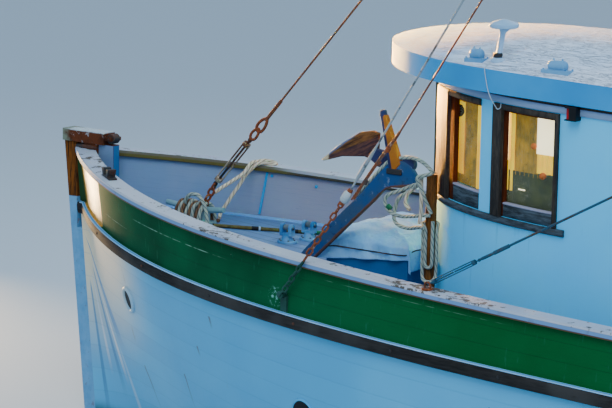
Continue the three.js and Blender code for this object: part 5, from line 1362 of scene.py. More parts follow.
def noseHalf(t, shape):
    u = min(max(t, 0) / shape["frontDepth"], 1)
    return shape["half"] * (1 - (1 - u) ** shape["n"]) ** (1 / shape["m"]) + shape["taper"] * t


def sillZ(x):
    return 2.103 - 0.029 * (house["noseX"] - x)


def roofUnderZ(x):
    return 2.853 - 0.029 * (roof["noseX"] - x)


def roofAt(x, y):
    wide = noseHalf(roof["noseX"] - x, roof)
    return roofUnderZ(x) + roof["edge"] + roof["crown"] * (1 - (y / wide) ** 2)


cordEdge = noseHalf(roof["noseX"] - 0.755, roof)
cordTop = roofAt(0.755, 0.88)
roofCord = [(x, y, roofAt(x, y) + lift) for x, y, lift in (
    (0.762, 0.845, 0.0025), (0.759, 0.878, 0.0025), (0.757, cordEdge - 0.012, 0.0035))]
roofCord += [(x, cordEdge + out, cordTop - down) for x, out, down in (
    (0.753, 0.004, 0.02), (0.74, 0.006, 0.08), (0.722, 0.008, 0.14), (0.704, -0.002, 0.19), (0.69, -0.03, 0.235))]
cordPiece("roofCordStrand", smoothPath(roofCord, 5), 0.003, 8, "thinCord", "roof_cord")

post = {"x": 1.325, "y": 0.6}
hank = {"radius": 0.011, "reach": 0.0465, "outer": 68, "inner": 28, "turn": -16, "high": 1.915,
        "outerLow": 1.6, "innerLow": 1.665}


def onPost(angle, z):
    # a point by the post, its angle counted from the side that the camera sees
    turned = radians(angle + hank["turn"])
    return Vector((post["x"] + hank["reach"] * (cos(turned) * -0.609 + sin(turned) * -0.793),
                   post["y"] + hank["reach"] * (cos(turned) * 0.793 + sin(turned) * -0.609), z))


def hankArc(reach, low, deep, steps):
    # the half turn at the foot of a fold
    return [onPost(-reach * cos(pi * k / steps), low - deep * sin(pi * k / steps)) for k in range(steps + 1)]


hankPoints = [onPost(-hank["outer"], hank["high"] + 0.01 - 0.0325 * k) for k in range(10)]
hankPoints += hankArc(hank["outer"], hank["outerLow"], 0.046, 12)
hankPoints += [onPost(hank["outer"], hank["outerLow"] + 0.0305 * k) for k in range(1, 9)]
back = 360 - hank["outer"] - hank["inner"]
for share in spaced(0, 1, 18):
    angle = hank["outer"] + back * (share - sin(2 * pi * share) / 11)
    hankPoints.append(onPost(angle, hank["high"] + max(0, sin(pi * share)) ** 0.7 * 0.045 - 0.04))
hankPoints += [onPost(-hank["inner"], hank["high"] - 0.04 - 0.03 * k) for k in range(1, 7)]
hankPoints += hankArc(hank["inner"], hank["innerLow"], 0.0218, 10)
hankPoints += [onPost(hank["inner"], hank["innerLow"] + 0.03 * k) for k in range(1, 10)]
cordPiece("ropeHankTurns", evenPath(hankPoints, 0.006), hank["radius"], 12, "greenRope", "rope_hank")
softened("rope_post", "postWood", 0.004)

# anchor lashed between the foredeck and the post
def addSlab(bm, outline, y, thick, material=0):
    # a plate whose outline is drawn in (x, z), pushed out both ways from y
    face = bm.faces.new([bm.verts.new((x, y - thick / 2, z)) for x, z in outline])
    grown = bmesh.ops.extrude_face_region(bm, geom=[face])["geom"]
    fresh = vertsIn(grown)
    bmesh.ops.translate(bm, vec=(0, thick, 0), verts=fresh)
    faces = facesAt(dressed(list(face.verts) + fresh, material))
    bmesh.ops.recalc_face_normals(bm, faces=list(faces))


anchorPlates = [
    # outline in (x, z), its middle's y, thickness, finish: shank, stock, fluke, and the two faces of the upper arm
    ([(2.473, 1.486), (2.351, 1.62), (1.936, 2.011), (1.8, 2.155), (1.716, 2.238), (1.66, 2.258), (1.6, 2.258),
      (1.545, 2.235), (1.508, 2.183), (1.513, 2.107), (1.6, 2.09), (1.7, 2.083), (1.755, 2.055), (1.825, 1.979),
      (2.05, 1.77), (2.28, 1.556), (2.417, 1.43)], 0.5, 0.032, 0),
    ([(1.8, 2.3), (1.72, 2.255), (1.64, 2.24), (1.64, 2.17), (1.74, 2.165), (1.82, 2.195), (1.885, 2.232),
      (1.872, 2.305)], 0.455, 0.05, 2),
    ([(2.302, 2.186), (2.14, 2.31), (2.005, 2.392), (1.905, 2.412), (1.855, 2.402), (1.862, 2.25), (1.89, 2.222),
      (1.962, 2.24), (2.14, 2.222), (2.288, 2.176)], 0.425, 0.03, 3),
    ([(1.789, 2.535), (1.771, 2.538), (1.684, 2.182), (1.705, 2.16)], 0.5, 0.038, 2),
    ([(1.772, 2.538), (1.747, 2.536), (1.624, 2.24), (1.672, 2.186), (1.686, 2.182)], 0.5, 0.042, 4),
]
bm = bmesh.new()
for outline, y, thick, material in anchorPlates:
    addSlab(bm, outline, y, thick, material)
addRod(bm, (2.42, 0.476, 1.488), (2.42, 0.524, 1.488), 0.022, sides=16, material=1)
addRod(bm, (1.572, 0.474, 2.244), (1.572, 0.512, 2.244), 0.05, sides=26, material=2)
addBox(bm, (1.612, 0.474, 2.168), (1.728, 0.526, 2.204), 1)
addRod(bm, (1.772, 0.5, 2.523), (1.776, 0.5, 2.565), 0.026, 0.02, 18, 2)
settle(bm, "anchorForged", ["anchor", "darkRust", "anchorDark", "fluke", "ochre"], replaces="anchor", bevel=0.006)

# rope lashings: over the crown to the post, round the shank, and a bight that hangs by the post
bm = bmesh.new()
lashings = [
    # path, finish
    ([(1.29, 0.64, 2.238), (1.345, 0.612, 2.262), (1.42, 0.575, 2.284), (1.523, 0.53, 2.292), (1.632, 0.502, 2.276),
      (1.711, 0.5, 2.253), (1.792, 0.5, 2.182), (1.86, 0.5, 2.112), (1.982, 0.5, 1.988)], 0),
    ([(1.292, 0.648, 2.236), (1.33, 0.674, 2.222), (1.367, 0.698, 2.205), (1.35, 0.685, 2.15), (1.324, 0.665, 2.063),
      (1.293, 0.645, 1.985)], 0),
    ([(1.36, 0.66, 2.2), (1.42, 0.6, 2.15), (1.5, 0.555, 2.125), (1.6, 0.548, 2.08), (1.685, 0.548, 2.045),
      (1.715, 0.548, 2.01), (1.7, 0.55, 1.965), (1.65, 0.556, 1.93), (1.56, 0.575, 1.925), (1.45, 0.615, 1.945),
      (1.36, 0.66, 1.967), (1.296, 0.657, 1.975)], 0),
    ([(1.4, 0.62, 2.165), (1.5, 0.56, 2.1), (1.6, 0.552, 2.035), (1.63, 0.55, 1.975), (1.64, 0.55, 1.9),
      (1.6, 0.556, 1.862), (1.5, 0.59, 1.86), (1.4, 0.64, 1.885), (1.33, 0.672, 1.896)], 0),
    ([(1.38, 0.64, 2.185), (1.46, 0.575, 2.125), (1.53, 0.56, 2.07), (1.545, 0.565, 2.01), (1.5, 0.58, 1.975)], 1),
    ([(1.365, 0.654, 2.19), (1.35, 0.676, 2.1), (1.345, 0.68, 2.0), (1.352, 0.684, 1.92)], 1),
]
for points, material in lashings:
    addTube(bm, smoothPath(points, 6), 0.0118, 10, material)
addRod(bm, (1.665, 0.552, 1.955), (1.69, 0.552, 1.975), 0.0165, sides=14, material=2)
settle(bm, "anchorLashings", ["greenRope", "paleRope", "poleGreen"], smooth=70)

# skylight box under its canvas
sky = {"x0": 1.625, "x1": 2.27, "half": 0.41, "tall": 0.29}
skyMiddle, skyLong = (sky["x0"] + sky["x1"]) / 2, (sky["x1"] - sky["x0"]) / 2
skyZ = deckZ(sky["x0"], 0)
softened("skylight_box", "boxBlue", 0.006)
bm = bmesh.new()
for x, y, long, wide in ((0, -0.414, skyLong + 0.004, 0.005), (0, 0.414, skyLong + 0.004, 0.005),
                         (-skyLong - 0.004, 0, 0.005, 0.414), (skyLong + 0.004, 0, 0.005, 0.414)):
    addBox(bm, (skyMiddle + x - long, y - wide, skyZ + 0.02), (skyMiddle + x + long, y + wide, skyZ + 0.05))
settle(bm, "skylightMoulding", "boxBlue", bevel=0.003)
cover = {"drop": 0.17, "top": skyZ + sky["tall"] + 0.012, "crown": 0.06, "cells": 110}


def wrap(distance, half):
    # how far out and how far down a cloth lies that turns over an edge
    bendR = 0.03
    flat = half - bendR
    if abs(distance) <= flat:
        return distance, 0.0
    past = abs(distance) - flat
    arc = min(past / bendR, pi / 2)
    out = flat + bendR * sin(arc)
    down = bendR * (1 - cos(arc)) + max(0, past - bendR * pi / 2)
    return copysign(out, distance), down


def clothPoint(u, v):
    halfX, halfY = skyLong + 0.012, sky["half"] + 0.012
    outX, downX = wrap(u, halfX)
    outY, downY = wrap(v, halfY)
    swell = cover["crown"] * (1 - min(1, abs(u) / halfX) ** 3) * (1 - min(1, abs(v) / halfY) ** 3)
    both = min(downX, downY)
    fold = Vector((copysign(1, u) if downX else 0, copysign(1, v) if downY else 0, 0))
    place = Vector((u * 4.2, v * 4.2, 0.3))
    wrinkle = noise.noise(place) * 0.016 + noise.noise(place * 2.3 + Vector((3, 1, 4))) * 0.008
    ridge = abs(noise.noise(Vector((u * 3 + v * 5, v * 2.2 - u, 7.0))))
    crease = max(0, 0.16 - ridge) * 0.09
    if v > 0:
        downY *= 1 - 0.42 * min(1, max(0, 0.5 - 0.5 * u / halfX))
    down = max(downX, downY)
    hang = 0.011 * sin((u if downY > downX else v) * 26 + 2 * sin(u * 5 + v * 3)) * min(1, down / 0.08)
    point = Vector((skyMiddle + outX, outY, cover["top"] + swell - down))
    point += fold * (both * 0.28 + max(0, hang + 0.008) * (1 if down > 0.02 else 0))
    point.z += (wrinkle + crease) * (1 if down < 0.02 else 0.25)
    if down > 0.02:
        point += fold * abs(wrinkle) * 0.6
    return point


coverHalfX, coverHalfY = skyLong + cover["drop"], sky["half"] + cover["drop"]
bm = bmesh.new()
skin(bm, *[spaced(-half, half, cover["cells"]) for half in (coverHalfX, coverHalfY)], clothPoint)
bmesh.ops.smooth_vert(bm, verts=bm.verts[:], factor=0.4, use_axis_x=True, use_axis_y=True, use_axis_z=True)
turnOutward(bm)
coverPiece = settle(bm, "canvasCoverCloth", "canvas", replaces="canvas_cover", smooth=70)
thick = coverPiece.modifiers.new("clothThickness", "SOLIDIFY")
thick.thickness = 0.002
round(coverHalfX * 2, 3)
round(coverHalfY * 2, 3)
girdle = {"out": 0.03, "down": 0.078, "slope": 0.034, "wave": 0.006, "square": 0.16}
loop = []
for k, (c, s) in enumerate(around(120)):
    loop.append((skyMiddle + (skyLong + girdle["out"]) * copysign(abs(c) ** girdle["square"], c),
                 (sky["half"] + girdle["out"]) * copysign(abs(s) ** girdle["square"], s),
                 cover["top"] - girdle["down"] - girdle["slope"] * c + girdle["wave"] * sin(pi * k / 12)))
bm = bmesh.new()
addTube(bm, loop, 0.0045, 6, closed=True)
settle(bm, "coverLashing", "darkRust", smooth=70)
print("foredeck done")


# wheelhouse walls, measured in metres along the wall from the nose, port above zero
def plan(t, shape, inset):
    step = 0.002
    before = t - step if t > step else 0
    slope = (noseHalf(t + step, shape) - noseHalf(before, shape)) / (t + step - before)
    norm = hypot(1, slope)
    return Vector((shape["noseX"] - t - inset * slope / norm, max(0, noseHalf(t, shape) - inset / norm), 0))


wallTable = [(0, 0)]
for k in range(1, 401):
    t = house["length"] * (k / 400) ** 2
    step = (plan(t, house, 0) - plan(wallTable[-1][1], house, 0)).length
    wallTable.append((wallTable[-1][0] + step, t))


def lookUp(table, value, columnIn, columnOut):
    value = min(max(value, 0), table[-1][columnIn])
    k = next(i for i in range(1, len(table)) if table[i][columnIn] >= value)
    a, b = table[k - 1], table[k]
    share = (value - a[columnIn]) / (b[columnIn] - a[columnIn])
    return a[columnOut] + (b[columnOut] - a[columnOut]) * share


def alongWall(t):
    return copysign(lookUp(wallTable, abs(t), 1, 0), t)


def wallSpot(q, inset):
    spot = plan(lookUp(wallTable, abs(q), 0, 1), house, inset)
    spot.y = copysign(spot.y, q)
    return spot


windowTall = 0.66
windows = {
    # name: from and to, as metres along the wall
    "portFore": (0.27, 0.7), "portAft": (0.826, 1.29), "portSide": (1.973, 2.453),
    "starboardFore": (-0.7, -0.27), "starboardAft": (-1.29, -0.826), "starboardSide": (-2.453, -1.973),
}
windows = {name: (alongWall(a), alongWall(b)) for name, (a, b) in windows.items()}
windows["centre"] = (-0.322, 0.322)


def wallAt(q, band, inset=0.0):
    # bands: 0 deck, 1 sill, 2 window head, 3 roof
    spot = wallSpot(q, inset)
    heights = [deckZ(spot.x, spot.y) - 0.005, sillZ(spot.x), sillZ(spot.x) + windowTall, roofUnderZ(spot.x) + 0.004]
    k = min(int(band), 2)
    spot.z = heights[k] + (heights[k + 1] - heights[k]) * (band - k)
    return spot


wallEnd = alongWall(house["length"]) - 0.001
cuts = sorted({-wallEnd, 0, wallEnd, *(v for pair in windows.values() for v in pair)})
wallColumns = [cuts[0]]
for a, b in zip(cuts, cuts[1:]):
    wallColumns += spaced(a, b, max(3, round((b - a) * 16)))[1:]
wallBands = [0, 0.25, 0.5, 0.75, 1, 1.25, 1.5, 1.75, 2, 2.5, 3]
bm = bmesh.new()
for inset in (0, house["wall"]):
    skin(bm, wallColumns, wallBands, lambda q, band: wallAt(q, band, inset))
uvLayer = bm.loops.layers.uv.verify()
holes = []
for face in bm.faces:
    middle = sum((loop[uvLayer].uv for loop in face.loops), Vector((0, 0))) / len(face.loops)
    if 1 < middle.y < 2 and any(a < middle.x < b for a, b in windows.values()):
        holes.append(face)
bmesh.ops.delete(bm, geom=holes, context="FACES")
for a, b in windows.values():
    across = [q for q in wallColumns if a - 0.0001 <= q <= b + 0.0001]
    for band in (1, 2):
        skin(bm, across, [0, house["wall"]], lambda q, deep: wallAt(q, band, deep))
    for q in (a, b):
        skin(bm, [0, house["wall"]], [band for band in wallBands if 1 <= band <= 2],
             lambda deep, band: wallAt(q, band, deep))
for q in (-wallEnd, wallEnd):
    skin(bm, [0, house["wall"]], wallBands, lambda deep, band: wallAt(q, band, deep))
bmesh.ops.remove_doubles(bm, verts=bm.verts[:], dist=0.0002)
turnOutward(bm)
settle(bm, "houseWalls", "house", replaces=["house_front", "house_side_port", "house_side_starboard"], smooth=40)
softened("house_aft", "house", 0.003)
softened("wheelhouse_door", "varnish", 0.005)


def addBar(bm, q0, q1, low, high, near, far, material=0, rounded=0.0):
    # a bar on the wall between two heights over the sill and two offsets outside the wall
    corners = [(near, low), (far - rounded, low), (far, low + rounded), (far, high - rounded), (far - rounded, high),
               (near, high)] if rounded else [(near, low), (far, low), (far, high), (near, high)]
    ring = [bm.verts.new() for corner in corners]
    bm.faces.new(ring)
    drawn = []
    for k, q in enumerate(spaced(q0, q1, max(1, round((q1 - q0) * 26)))):
        ring = drawOut(bm, ring) if k else ring
        drawn += ring
        for vert, (offset, up) in zip(ring, corners):
            vert.co = wallSpot(q, -offset)
            vert.co.z = sillZ(vert.co.x) + up
    bmesh.ops.edgeloop_fill(bm, edges=ringEdges(bm, ring))
    dressed(drawn, material)


surround = {"proud": 0.022, "over": 0.01, "head": 0.024, "lip": 0.012}
casings = {
    # frame beyond the fore edge, inside it, sash; sash at the aft edge, frame beyond; bottom rail
    "Fore": (0.085, 0.125, 0.048, 0.004, 0, 0.098), "Aft": (0.004, 0.07, 0.006, 0.004, 0.024, 0.074),
    "Side": (0.03, 0.004, 0.03, 0.03, 0.03, 0.055), "centre": (0.03, 0.004, 0.03, 0.034, 0.03, 0.055),
}
bm = bmesh.new()
for name, (a, b) in windows.items():
    outFore, frameFore, sashFore, sashAft, outAft, rail = next(v for key, v in casings.items() if name.endswith(key))
    way, fore, aft = (1, a, b) if b > 0 else (-1, b, a)
    high = windowTall + surround["over"]
    under = windowTall - surround["head"]
    for q0, q1 in ((fore - way * outFore, fore + way * frameFore), (aft, aft + way * outAft)):
        if abs(q1 - q0) > 0.002:
            addBar(bm, min(q0, q1), max(q0, q1), 0, high, -0.004, surround["proud"], 0, 0.006)
    addBar(bm, a, b, under, high, -0.04, surround["proud"] * 0.8, 0, 0.005)
    glassFore, glassAft = fore + way * (frameFore + sashFore), aft - way * sashAft
    for q0, q1 in ((fore + way * (frameFore - 0.035), glassFore), (glassAft, aft)):
        addBar(bm, min(q0, q1), max(q0, q1), 0, under, -0.04, -0.01, 1, 0.004)
    low, far = min(glassFore, glassAft), max(glassFore, glassAft)
    addBar(bm, low, far, 0, rail, -0.04, -0.012, 2, 0.004)
    addBar(bm, low, far, rail, rail + 0.012, -0.04, -0.008, 3, 0.003)
    addBar(bm, low, far, under - surround["lip"], under, -0.04, -0.014, 1, 0.003)
sillEnd = alongWall(house["noseX"] - 0.185)
addBar(bm, -sillEnd, sillEnd, -0.04, 0, -0.004, 0.022, 2, 0.008)
for name in ("portSide", "starboardSide"):
    a, b = windows[name]
    addBar(bm, a - 0.03, b + 0.03, -0.045, 0, -0.004, 0.022, 0, 0.008)
turnOutward(bm)
settle(bm, "windowSurrounds", ["frame", "sash", "railGrey", "lilac"], replaces="window_frames", smooth=50)

bm = bmesh.new()
trimEnd = wallEnd - 0.004
addBar(bm, -trimEnd, trimEnd, 0.676, 0.716, -0.002, 0.012, 0, 0.003)
addBar(bm, -trimEnd, trimEnd, 0.716, 0.735, -0.002, 0.006, 1)
turnOutward(bm)
settle(bm, "underVisorTrim", ["trim", "frame"], smooth=50)

# what shows through the panes
curtains = [
    # from, to along the wall, low, high over the sill, depth behind the wall, waves, finish
    (0.6, 1.16, 0.1, 0.65, 0.095, 1, 1),
    (0.645, 0.8, 0.16, 0.6, 0.085, 1, 0),
    (0.965, 1.02, 0.1, 0.62, 0.085, 1, 0),
    (1.272, 1.3, 0.32, 0.61, 0.08, 0, 2),
    (1.29, 1.345, 0.14, 0.61, 0.087, 1, 0),
    (1.33, 1.545, 0.24, 0.64, 0.095, 1, 1),
    (1.53, 1.685, 0.385, 0.622, 0.085, 0, 2),
    (1.53, 1.735, 0.27, 0.385, 0.088, 1, 0),
    (1.25, 1.76, 0.02, 0.262, 0.09, 0, 3),
    (1.395, 1.452, 0.154, 0.162, 0.08, 0, 2),
    (-1.13, -0.64, 0.3, 0.65, 0.085, 1, 1),
    (-1.73, -1.27, 0.3, 0.65, 0.085, 1, 0),
]
bm = bmesh.new()
for q0, q1, low, high, deep, waves, material in curtains:
    made = skin(bm, spaced(q0, q1, 40), spaced(low, high, 6),
                lambda q, up: wallSpot(q, deep + waves * 0.006 * sin(q * 170)) + raised(sillZ(0.9) + up))
    dressed(made, material)
settle(bm, "curtains", ["curtain", "amber", "cream", "cabinGreen"], smooth=70)
bm = bmesh.new()
cabinThings = [
    # low corner, high corner, finish
    ((0.62, -0.66, 1.95), (1.1, 0.6, 2.02), 0), ((0.7, 0.18, 2.02), (0.98, 0.52, 2.16), 1),
    ((-1.2, -0.7, 1.9), (-1.16, 0, 2.78), 2), ((-0.3, -0.79, 2.0), (0.3, -0.74, 2.7), 3),
    ((0.35, 0.3, 2.02), (0.37, 0.62, 2.5), 4), ((-1.1, -0.72, 1.45), (-0.7, 0.1, 1.9), 0),
]
for low, high, material in cabinThings:
    addBox(bm, low, high, material)
floats = [(0.745, 0.545, 0.038, 5), (1.522, 0.43, 0.019, 6), (1.598, 0.262, 0.021, 6)]
for q, up, radius, material in floats:
    spot = wallSpot(q, 0.068) + raised(sillZ(0.9) + up)
    ball = bmesh.ops.create_icosphere(bm, subdivisions=3, radius=radius, matrix=Matrix.Translation(spot))["verts"]
    dressed(ball, material)
addRod(bm, (0.95, 0.52, 2.02), (0.95, 0.52, 2.56), 0.02, material=0)
settle(bm, "cabinThings", ["varnish", "darkRust", "amber", "curtain", "cream", "black", "orangeBall"], bevel=0.006)
for name, finish, bevel in (("console", "varnish", 0.008), ("helm_wheel", "varnish", 0.004),
                                ("engine_cover", "machine", 0.006), ("engine_block", "net", 0.006)):
    softened(name, finish, bevel)

# roof, its fittings and the sidelights
def roofSpot(t, share):
    half = max(0.002, noseHalf(t, roof))
    x = roof["noseX"] - t
    crownHere = roof["crown"] * (half / roof["half"]) ** 1.2
    return Vector((x, half * share, roofUnderZ(x) + roof["edge"] + crownHere * (1 - share ** 2)))


def roofSkirt(t, share, up=0.0):
    # the flat underside and, above its rim, the edge
    x = roof["noseX"] - t
    return Vector((x, max(0.002, noseHalf(t, roof)) * share, roofUnderZ(x) + roof["edge"] * up))


roofColumns = spaced(0, roof["length"], 110, 1.9)
bm = bmesh.new()
skin(bm, roofColumns, spaced(-1, 1, 26), roofSpot)
dressed(skin(bm, roofColumns, spaced(-1, 1, 6), roofSkirt), 1)
for side in (-1, 1):
    dressed(skin(bm, roofColumns, spaced(0, 1, 4), lambda t, up: roofSkirt(t, side, up)), 1)
dressed(skin(bm, spaced(-1, 1, 26), [0, 1],
             lambda share, up: (roofSpot if up else roofSkirt)(roof["length"], share)), 1)
bmesh.ops.remove_doubles(bm, verts=bm.verts[:], dist=0.0004)
turnOutward(bm)
for x, y, share in ((0.3, 0.845, 1.0), (0.88, 0.815, 0.7)):
    foot = Vector((x, y, roofAt(x, y)))
    for long, wide, low, high in ((0.091, 0.0395, -0.022, 0.0095), (0.052, 0.024, 0.004, 0.03)):
        addBox(bm, foot + Vector((-long * share, -wide, low)), foot + Vector((long * share, wide, high)), 2)
    stops = [(-0.064, 0.004), (-0.061, 0.016), (-0.054, 0.026), (-0.043, 0.0315), (0.043, 0.0315), (0.054, 0.026),
             (0.061, 0.016), (0.064, 0.004)]
    addTube(bm, [foot + Vector((a * share, 0, 0.0335)) for a, r in stops], [r for a, r in stops], 24, 2)
    studs = [(a, 0, 0.06, 0.018, 0.009, 0.002, 12) for a in (-0.03, 0.03)]
    studs += [(a, b, 0.008, 0.01, 0.007, 0.005, 8) for b in (0.03, -0.03) for a in (-0.08, 0.08)]
    for a, b, low, tall, radius, endRadius, sides in studs:
        stud = foot + Vector((a * share, b, low))
        addRod(bm, stud, stud + raised(tall), radius, endRadius, sides, 2)
settle(bm, "visorRoof", ["roofTop", "fascia", "ventBlue"], replaces="wheelhouse_roof", smooth=42,
       bevel=0.008)

aerialSpot = Vector((0.745, 0.798, roofAt(0.745, 0.798)))
aerialLean = Vector((-0.036, 0, 0))
capStops = [(0, 0.02), (0.002, 0.07), (0.006, 0.085), (0.014, 0.088), (0.028, 0.0865), (0.038, 0.07),
            (0.045, 0.045), (0.052, 0.025), (0.056, 0.004)]
postStops = [(-0.01, 0.042), (0.013, 0.0415), (0.017, 0.022), (0.05, 0.0175), (0.14, 0.0165), (0.16, 0.017),
             (0.175, 0.023), (0.188, 0.034), (0.191, 0.03)]
bm = bmesh.new()
addTube(bm, [aerialSpot + aerialLean + raised(0.19 + a) for a, r in capStops], [r for a, r in capStops], 36)
stalk = [aerialSpot + aerialLean * max(0, a / 0.191) + raised(a) for a, r in postStops]
addTube(bm, stalk, [r for a, r in postStops], 28)
addRod(bm, aerialSpot + raised(0.018), aerialSpot + raised(0.045), 0.027, sides=20, material=1)
addRod(bm, *[aerialSpot + Vector((x, 0, 0.034)) for x in (0.03, -0.03)], 0.008, sides=10, material=1)
settle(bm, "aerialLook", ["white", "darkRust"], replaces="mushroom_aerial", smooth=50)
hookPoints = [(x, cordEdge - inward, cordTop - down) for x, inward, down in (
    (0.69, 0.032, 0.238), (0.684, 0.038, 0.248), (0.672, 0.046, 0.244), (0.668, 0.052, 0.228), (0.674, 0.06, 0.216))]
bm = bmesh.new()
addTube(bm, smoothPath(hookPoints, 4), 0.003, 8)
settle(bm, "cordHook", "thinCord", smooth=70)

lights = {"x": 0.138, "z": 2.752, "deep": 0.0618}
lightWall = noseHalf(house["noseX"] - lights["x"], house)
for side, name, lens in ((1, "sidelight_port", "redLens"), (-1, "sidelight_starboard", "greenLens")):
    place = Vector((lights["x"], lightWall, lights["z"]))
    bm = bmesh.new()
    for x0, z0, x1, z1 in ((-0.0388, -0.0408, 0.009, 0.0408), (0.006, 0.0308, 0.0388, 0.0408),
                           (0.006, -0.0408, 0.0388, -0.0328)):
        addBox(bm, place + Vector((x0, 0.0005, z0)), place + Vector((x1, lights["deep"], z1)))
    middle = place + Vector((0.02, (lights["deep"] + 0.0005) / 2, 0))
    addRod(bm, middle - raised(0.035), middle + raised(0.033), 0.0185, sides=24, material=1)
    if side < 0:
        swapSides(bm)
    settle(bm, name + "Look", ["black", lens], replaces=name, bevel=0.003)
print("wheelhouse fitted")

# side stays on the cap rail
eyeX = 0.871
eyeSpot = Vector((eyeX, railHalf(bow - eyeX) - 0.06, railZ(bow - eyeX)))
sideHead = Vector((-4.45, 0.915, 4.68))
sideLine = (eyeSpot + raised(0.03), sideHead)
for side in ("port", "starboard"):
    bm = bmesh.new()
    addRod(bm, eyeSpot, eyeSpot + raised(0.008), 0.036, sides=24, material=2)
    ring = [eyeSpot + Vector((0.021 * c, 0, 0.022 + 0.022 * s)) for c, s in around(18)]
    addTube(bm, ring, 0.0065, 8, 2, closed=True)
    addTurnbuckle(bm, sideLine[0], between(*sideLine, 0.066), 0.0125, 0, 0)
    addEye(bm, between(*sideLine, 0.074), sideHead - sideLine[0], 0.045, 0.026, 0.008, 1)
    addSleeve(bm, sideLine, 0.082, 0.1, 0.0115, material=1)
    addStay(bm, between(*sideLine, 0.08), sideHead, 0.007, 1)
    if side == "starboard":
        swapSides(bm)
    settle(bm, "sideStay_" + side, ["stayBlue", "stayBlue", "rust"],
           replaces="side_stay_" + side, smooth=60)


# mast, boom, winch, hatch, gallows and drums
carried = {
    # node: finish, bevel
    "mast": ("orange", 0.004), "boom": ("orange", 0.004), "topping_lift": ("wire", 0.001),
    "exhaust_stack": ("darkRust", 0.005), "winch_frame": ("machine", 0.006), "winch_drums": ("rust", 0.005),
    "stern_gallows": ("machine", 0.005), "rudder": ("machine", 0.006), "wheelhouse_sole": ("varnish", 0.003),
    "hatch_lid": ("brown", 0.006),
}
for name, (finish, bevel) in carried.items():
    softened(name, finish, bevel)
hoops = [
    # middle height, radius, tall
    (1.75, 0.0805, 0.05), (3.12, 0.0765, 0.06), (3.3, 0.0765, 0.05),
    (7.28, 0.0585, 0.05), (7.42, 0.0575, 0.05), (7.6, 0.0555, 0.06),
]
bm = bmesh.new()
for z, radius, tall in hoops:
    addRod(bm, (mast["x"], 0, z - tall / 2), (mast["x"], 0, z + tall / 2), radius, sides=28)
for y in (-0.2, -0.96, 0.2, 0.96):
    addRod(bm, (mast["x"], y - 0.02, mast["crossZ"]), (mast["x"], y + 0.02, mast["crossZ"]), 0.042, sides=20)
settle(bm, "mastHoops", "darkRust", bevel=0.002)

winch = {"x": -2.25, "core": 0.102, "drumY": 0.215, "wire": 0.0075}
axleZ = deckZ(winch["x"], 0) + 0.36
bm = bmesh.new()
for side in (-1, 1):
    for count, layer in ((11, 0.8), (10, 2.5)):
        reach = winch["core"] + winch["wire"] * layer
        for k in range(count):
            y = side * winch["drumY"] + (k - (count - 1) / 2) * winch["wire"] * 2.05
            ring = [(winch["x"] + reach * c, y, axleZ + reach * s) for c, s in around(32)]
            addTube(bm, ring, winch["wire"], 6, closed=True)
settle(bm, "winchWire", "greyWire", body="winch_drums", smooth=70)

drum = {"x": -3.9, "y": 0.605, "flange": 0.35, "rim": 0.338, "core": 0.235}
drumZ = deckZ(drum["x"], 0) + 0.52
bm = bmesh.new()
for side in (-1, 1):
    middle = Vector((drum["x"], side * drum["y"], drumZ))
    addRod(bm, *[middle + Vector((0, y, 0)) for y in (-0.0085, 0.0085)], drum["flange"], sides=48, material=1)
    rim = [middle + Vector((drum["rim"] * c, 0, drum["rim"] * s)) for c, s in around(48)]
    addTube(bm, rim, 0.0115, 8, 1, closed=True)
    for c, s in around(6):
        out = Vector((c, 0, s))
        addRod(bm, middle + out * 0.06, middle + out * 0.33, 0.011, sides=8, material=1)
addRod(bm, (drum["x"], -0.704, drumZ), (drum["x"], 0.704, drumZ), 0.0338, sides=24, material=1)
for vert in addTube(bm, [(drum["x"], y, drumZ) for y in spaced(-0.594, 0.594, 90)], drum["core"] * 0.94, 64):
    out = Vector((vert.co.x - drum["x"], 0, vert.co.z - drumZ))
    if out.length > 0.1:
        vert.co += out.normalized() * (noise.noise(vert.co * 5) * 0.022 + noise.noise(vert.co * 17) * 0.009)
settle(bm, "netOnDrum", ["net", "machine"], body="net_drum", replaces="net_drum", smooth=60)

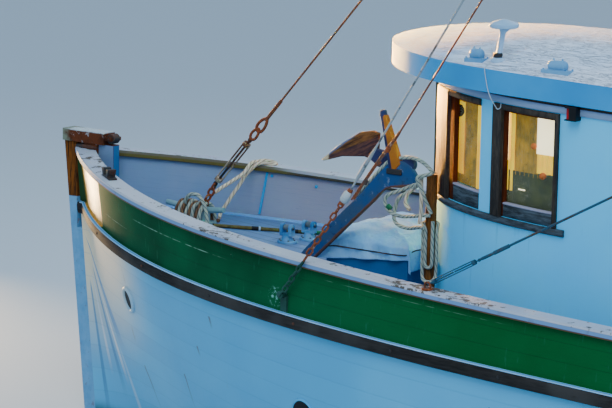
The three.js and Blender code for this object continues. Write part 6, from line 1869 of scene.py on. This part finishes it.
door = {"x": -4.3, "y": 1.212, "z": 2.14, "thick": 0.032, "outline": [
    (-0.44, -0.19), (-0.33, -0.33), (0.33, -0.33), (0.44, -0.19), (0.44, 0.19), (0.33, 0.33), (-0.33, 0.33),
    (-0.44, 0.19)]}
for side, name in ((1, "trawl_door_port"), (-1, "trawl_door_starboard")):
    bm = bmesh.new()
    planks = [(x * 0.985 + door["x"], z * 0.985 + door["z"]) for x, z in door["outline"]]
    addSlab(bm, planks, door["y"], door["thick"], 1)
    rim = [(x * 0.97 + door["x"], door["y"], z * 0.97 + door["z"]) for x, z in door["outline"]]
    for a, b in zip(rim, rim[1:] + rim[:1]):
        addRod(bm, a, b, 0.0205, sides=8)
    for x in (-0.18, 0.18):
        addBox(bm, (x - 4.33, 1.1905, 1.84), (x - 4.27, 1.2335, 2.44))
        for z in (1.95, 2.14, 2.33):
            addRod(bm, (x + door["x"], 1.1915, z), (x + door["x"], 1.2335, z), 0.014, sides=8)
    addBox(bm, (-4.33, 1.204, 2.44), (-4.27, 1.22, 2.605))
    if side < 0:
        swapSides(bm)
    settle(bm, name + "Look", ["rust", "brown"], replaces=name, bevel=0.003)

# propeller
screw = {"x": -4.06, "z": -0.68, "tip": 0.245, "pitch": 0.62}
bm = bmesh.new()
addTube(bm, [(screw["x"] + a, 0, screw["z"]) for a in (-0.075, -0.07, -0.05, 0.06, 0.072, 0.075)],
        [0.02, 0.035, 0.048, 0.052, 0.047, 0.03], 28)
addRod(bm, (-3.4, 0, screw["z"]), (screw["x"], 0, screw["z"]), 0.0247, sides=20)
for k in range(3):
    swing = Matrix.Translation((screw["x"], 0, screw["z"])) @ Matrix.Rotation(2 * pi * k / 3, 4, "X")

    def bladeSpot(r, c):
        wide = 0.085 * sin(pi * min(0.96, (r / screw["tip"]) ** 1.3 * 0.8 + 0.16))
        lean = atan2(screw["pitch"], 2 * pi * r)
        return swing @ Vector((-c * wide * sin(lean) * 0.9, c * wide * cos(lean), r))

    made = skin(bm, spaced(0.03, screw["tip"], 16), spaced(-1, 1, 12), bladeSpot)
    back = bmesh.ops.duplicate(bm, geom=list(facesAt(made)))["geom"]
    bmesh.ops.translate(bm, vec=(0.009, 0, 0), verts=vertsIn(back))
turnOutward(bm)
settle(bm, "propellerLook", "bronze", body="propeller", replaces="propeller", smooth=50)
print("stern gear done")

# floor and the end
bm = bmesh.new()
bmesh.ops.create_grid(bm, x_segments=1, y_segments=1, size=60)
floorMesh = bpy.data.meshes.new("studioFloor")
bm.to_mesh(floorMesh)
bm.free()
floor = bpy.data.objects.new("studioFloor", floorMesh)
bpy.context.scene.collection.objects.link(floor)
plainFloor = Finish("studioFloorPaint")
floorMesh.materials.append(plainFloor.surface("c9d3da", 0.75))
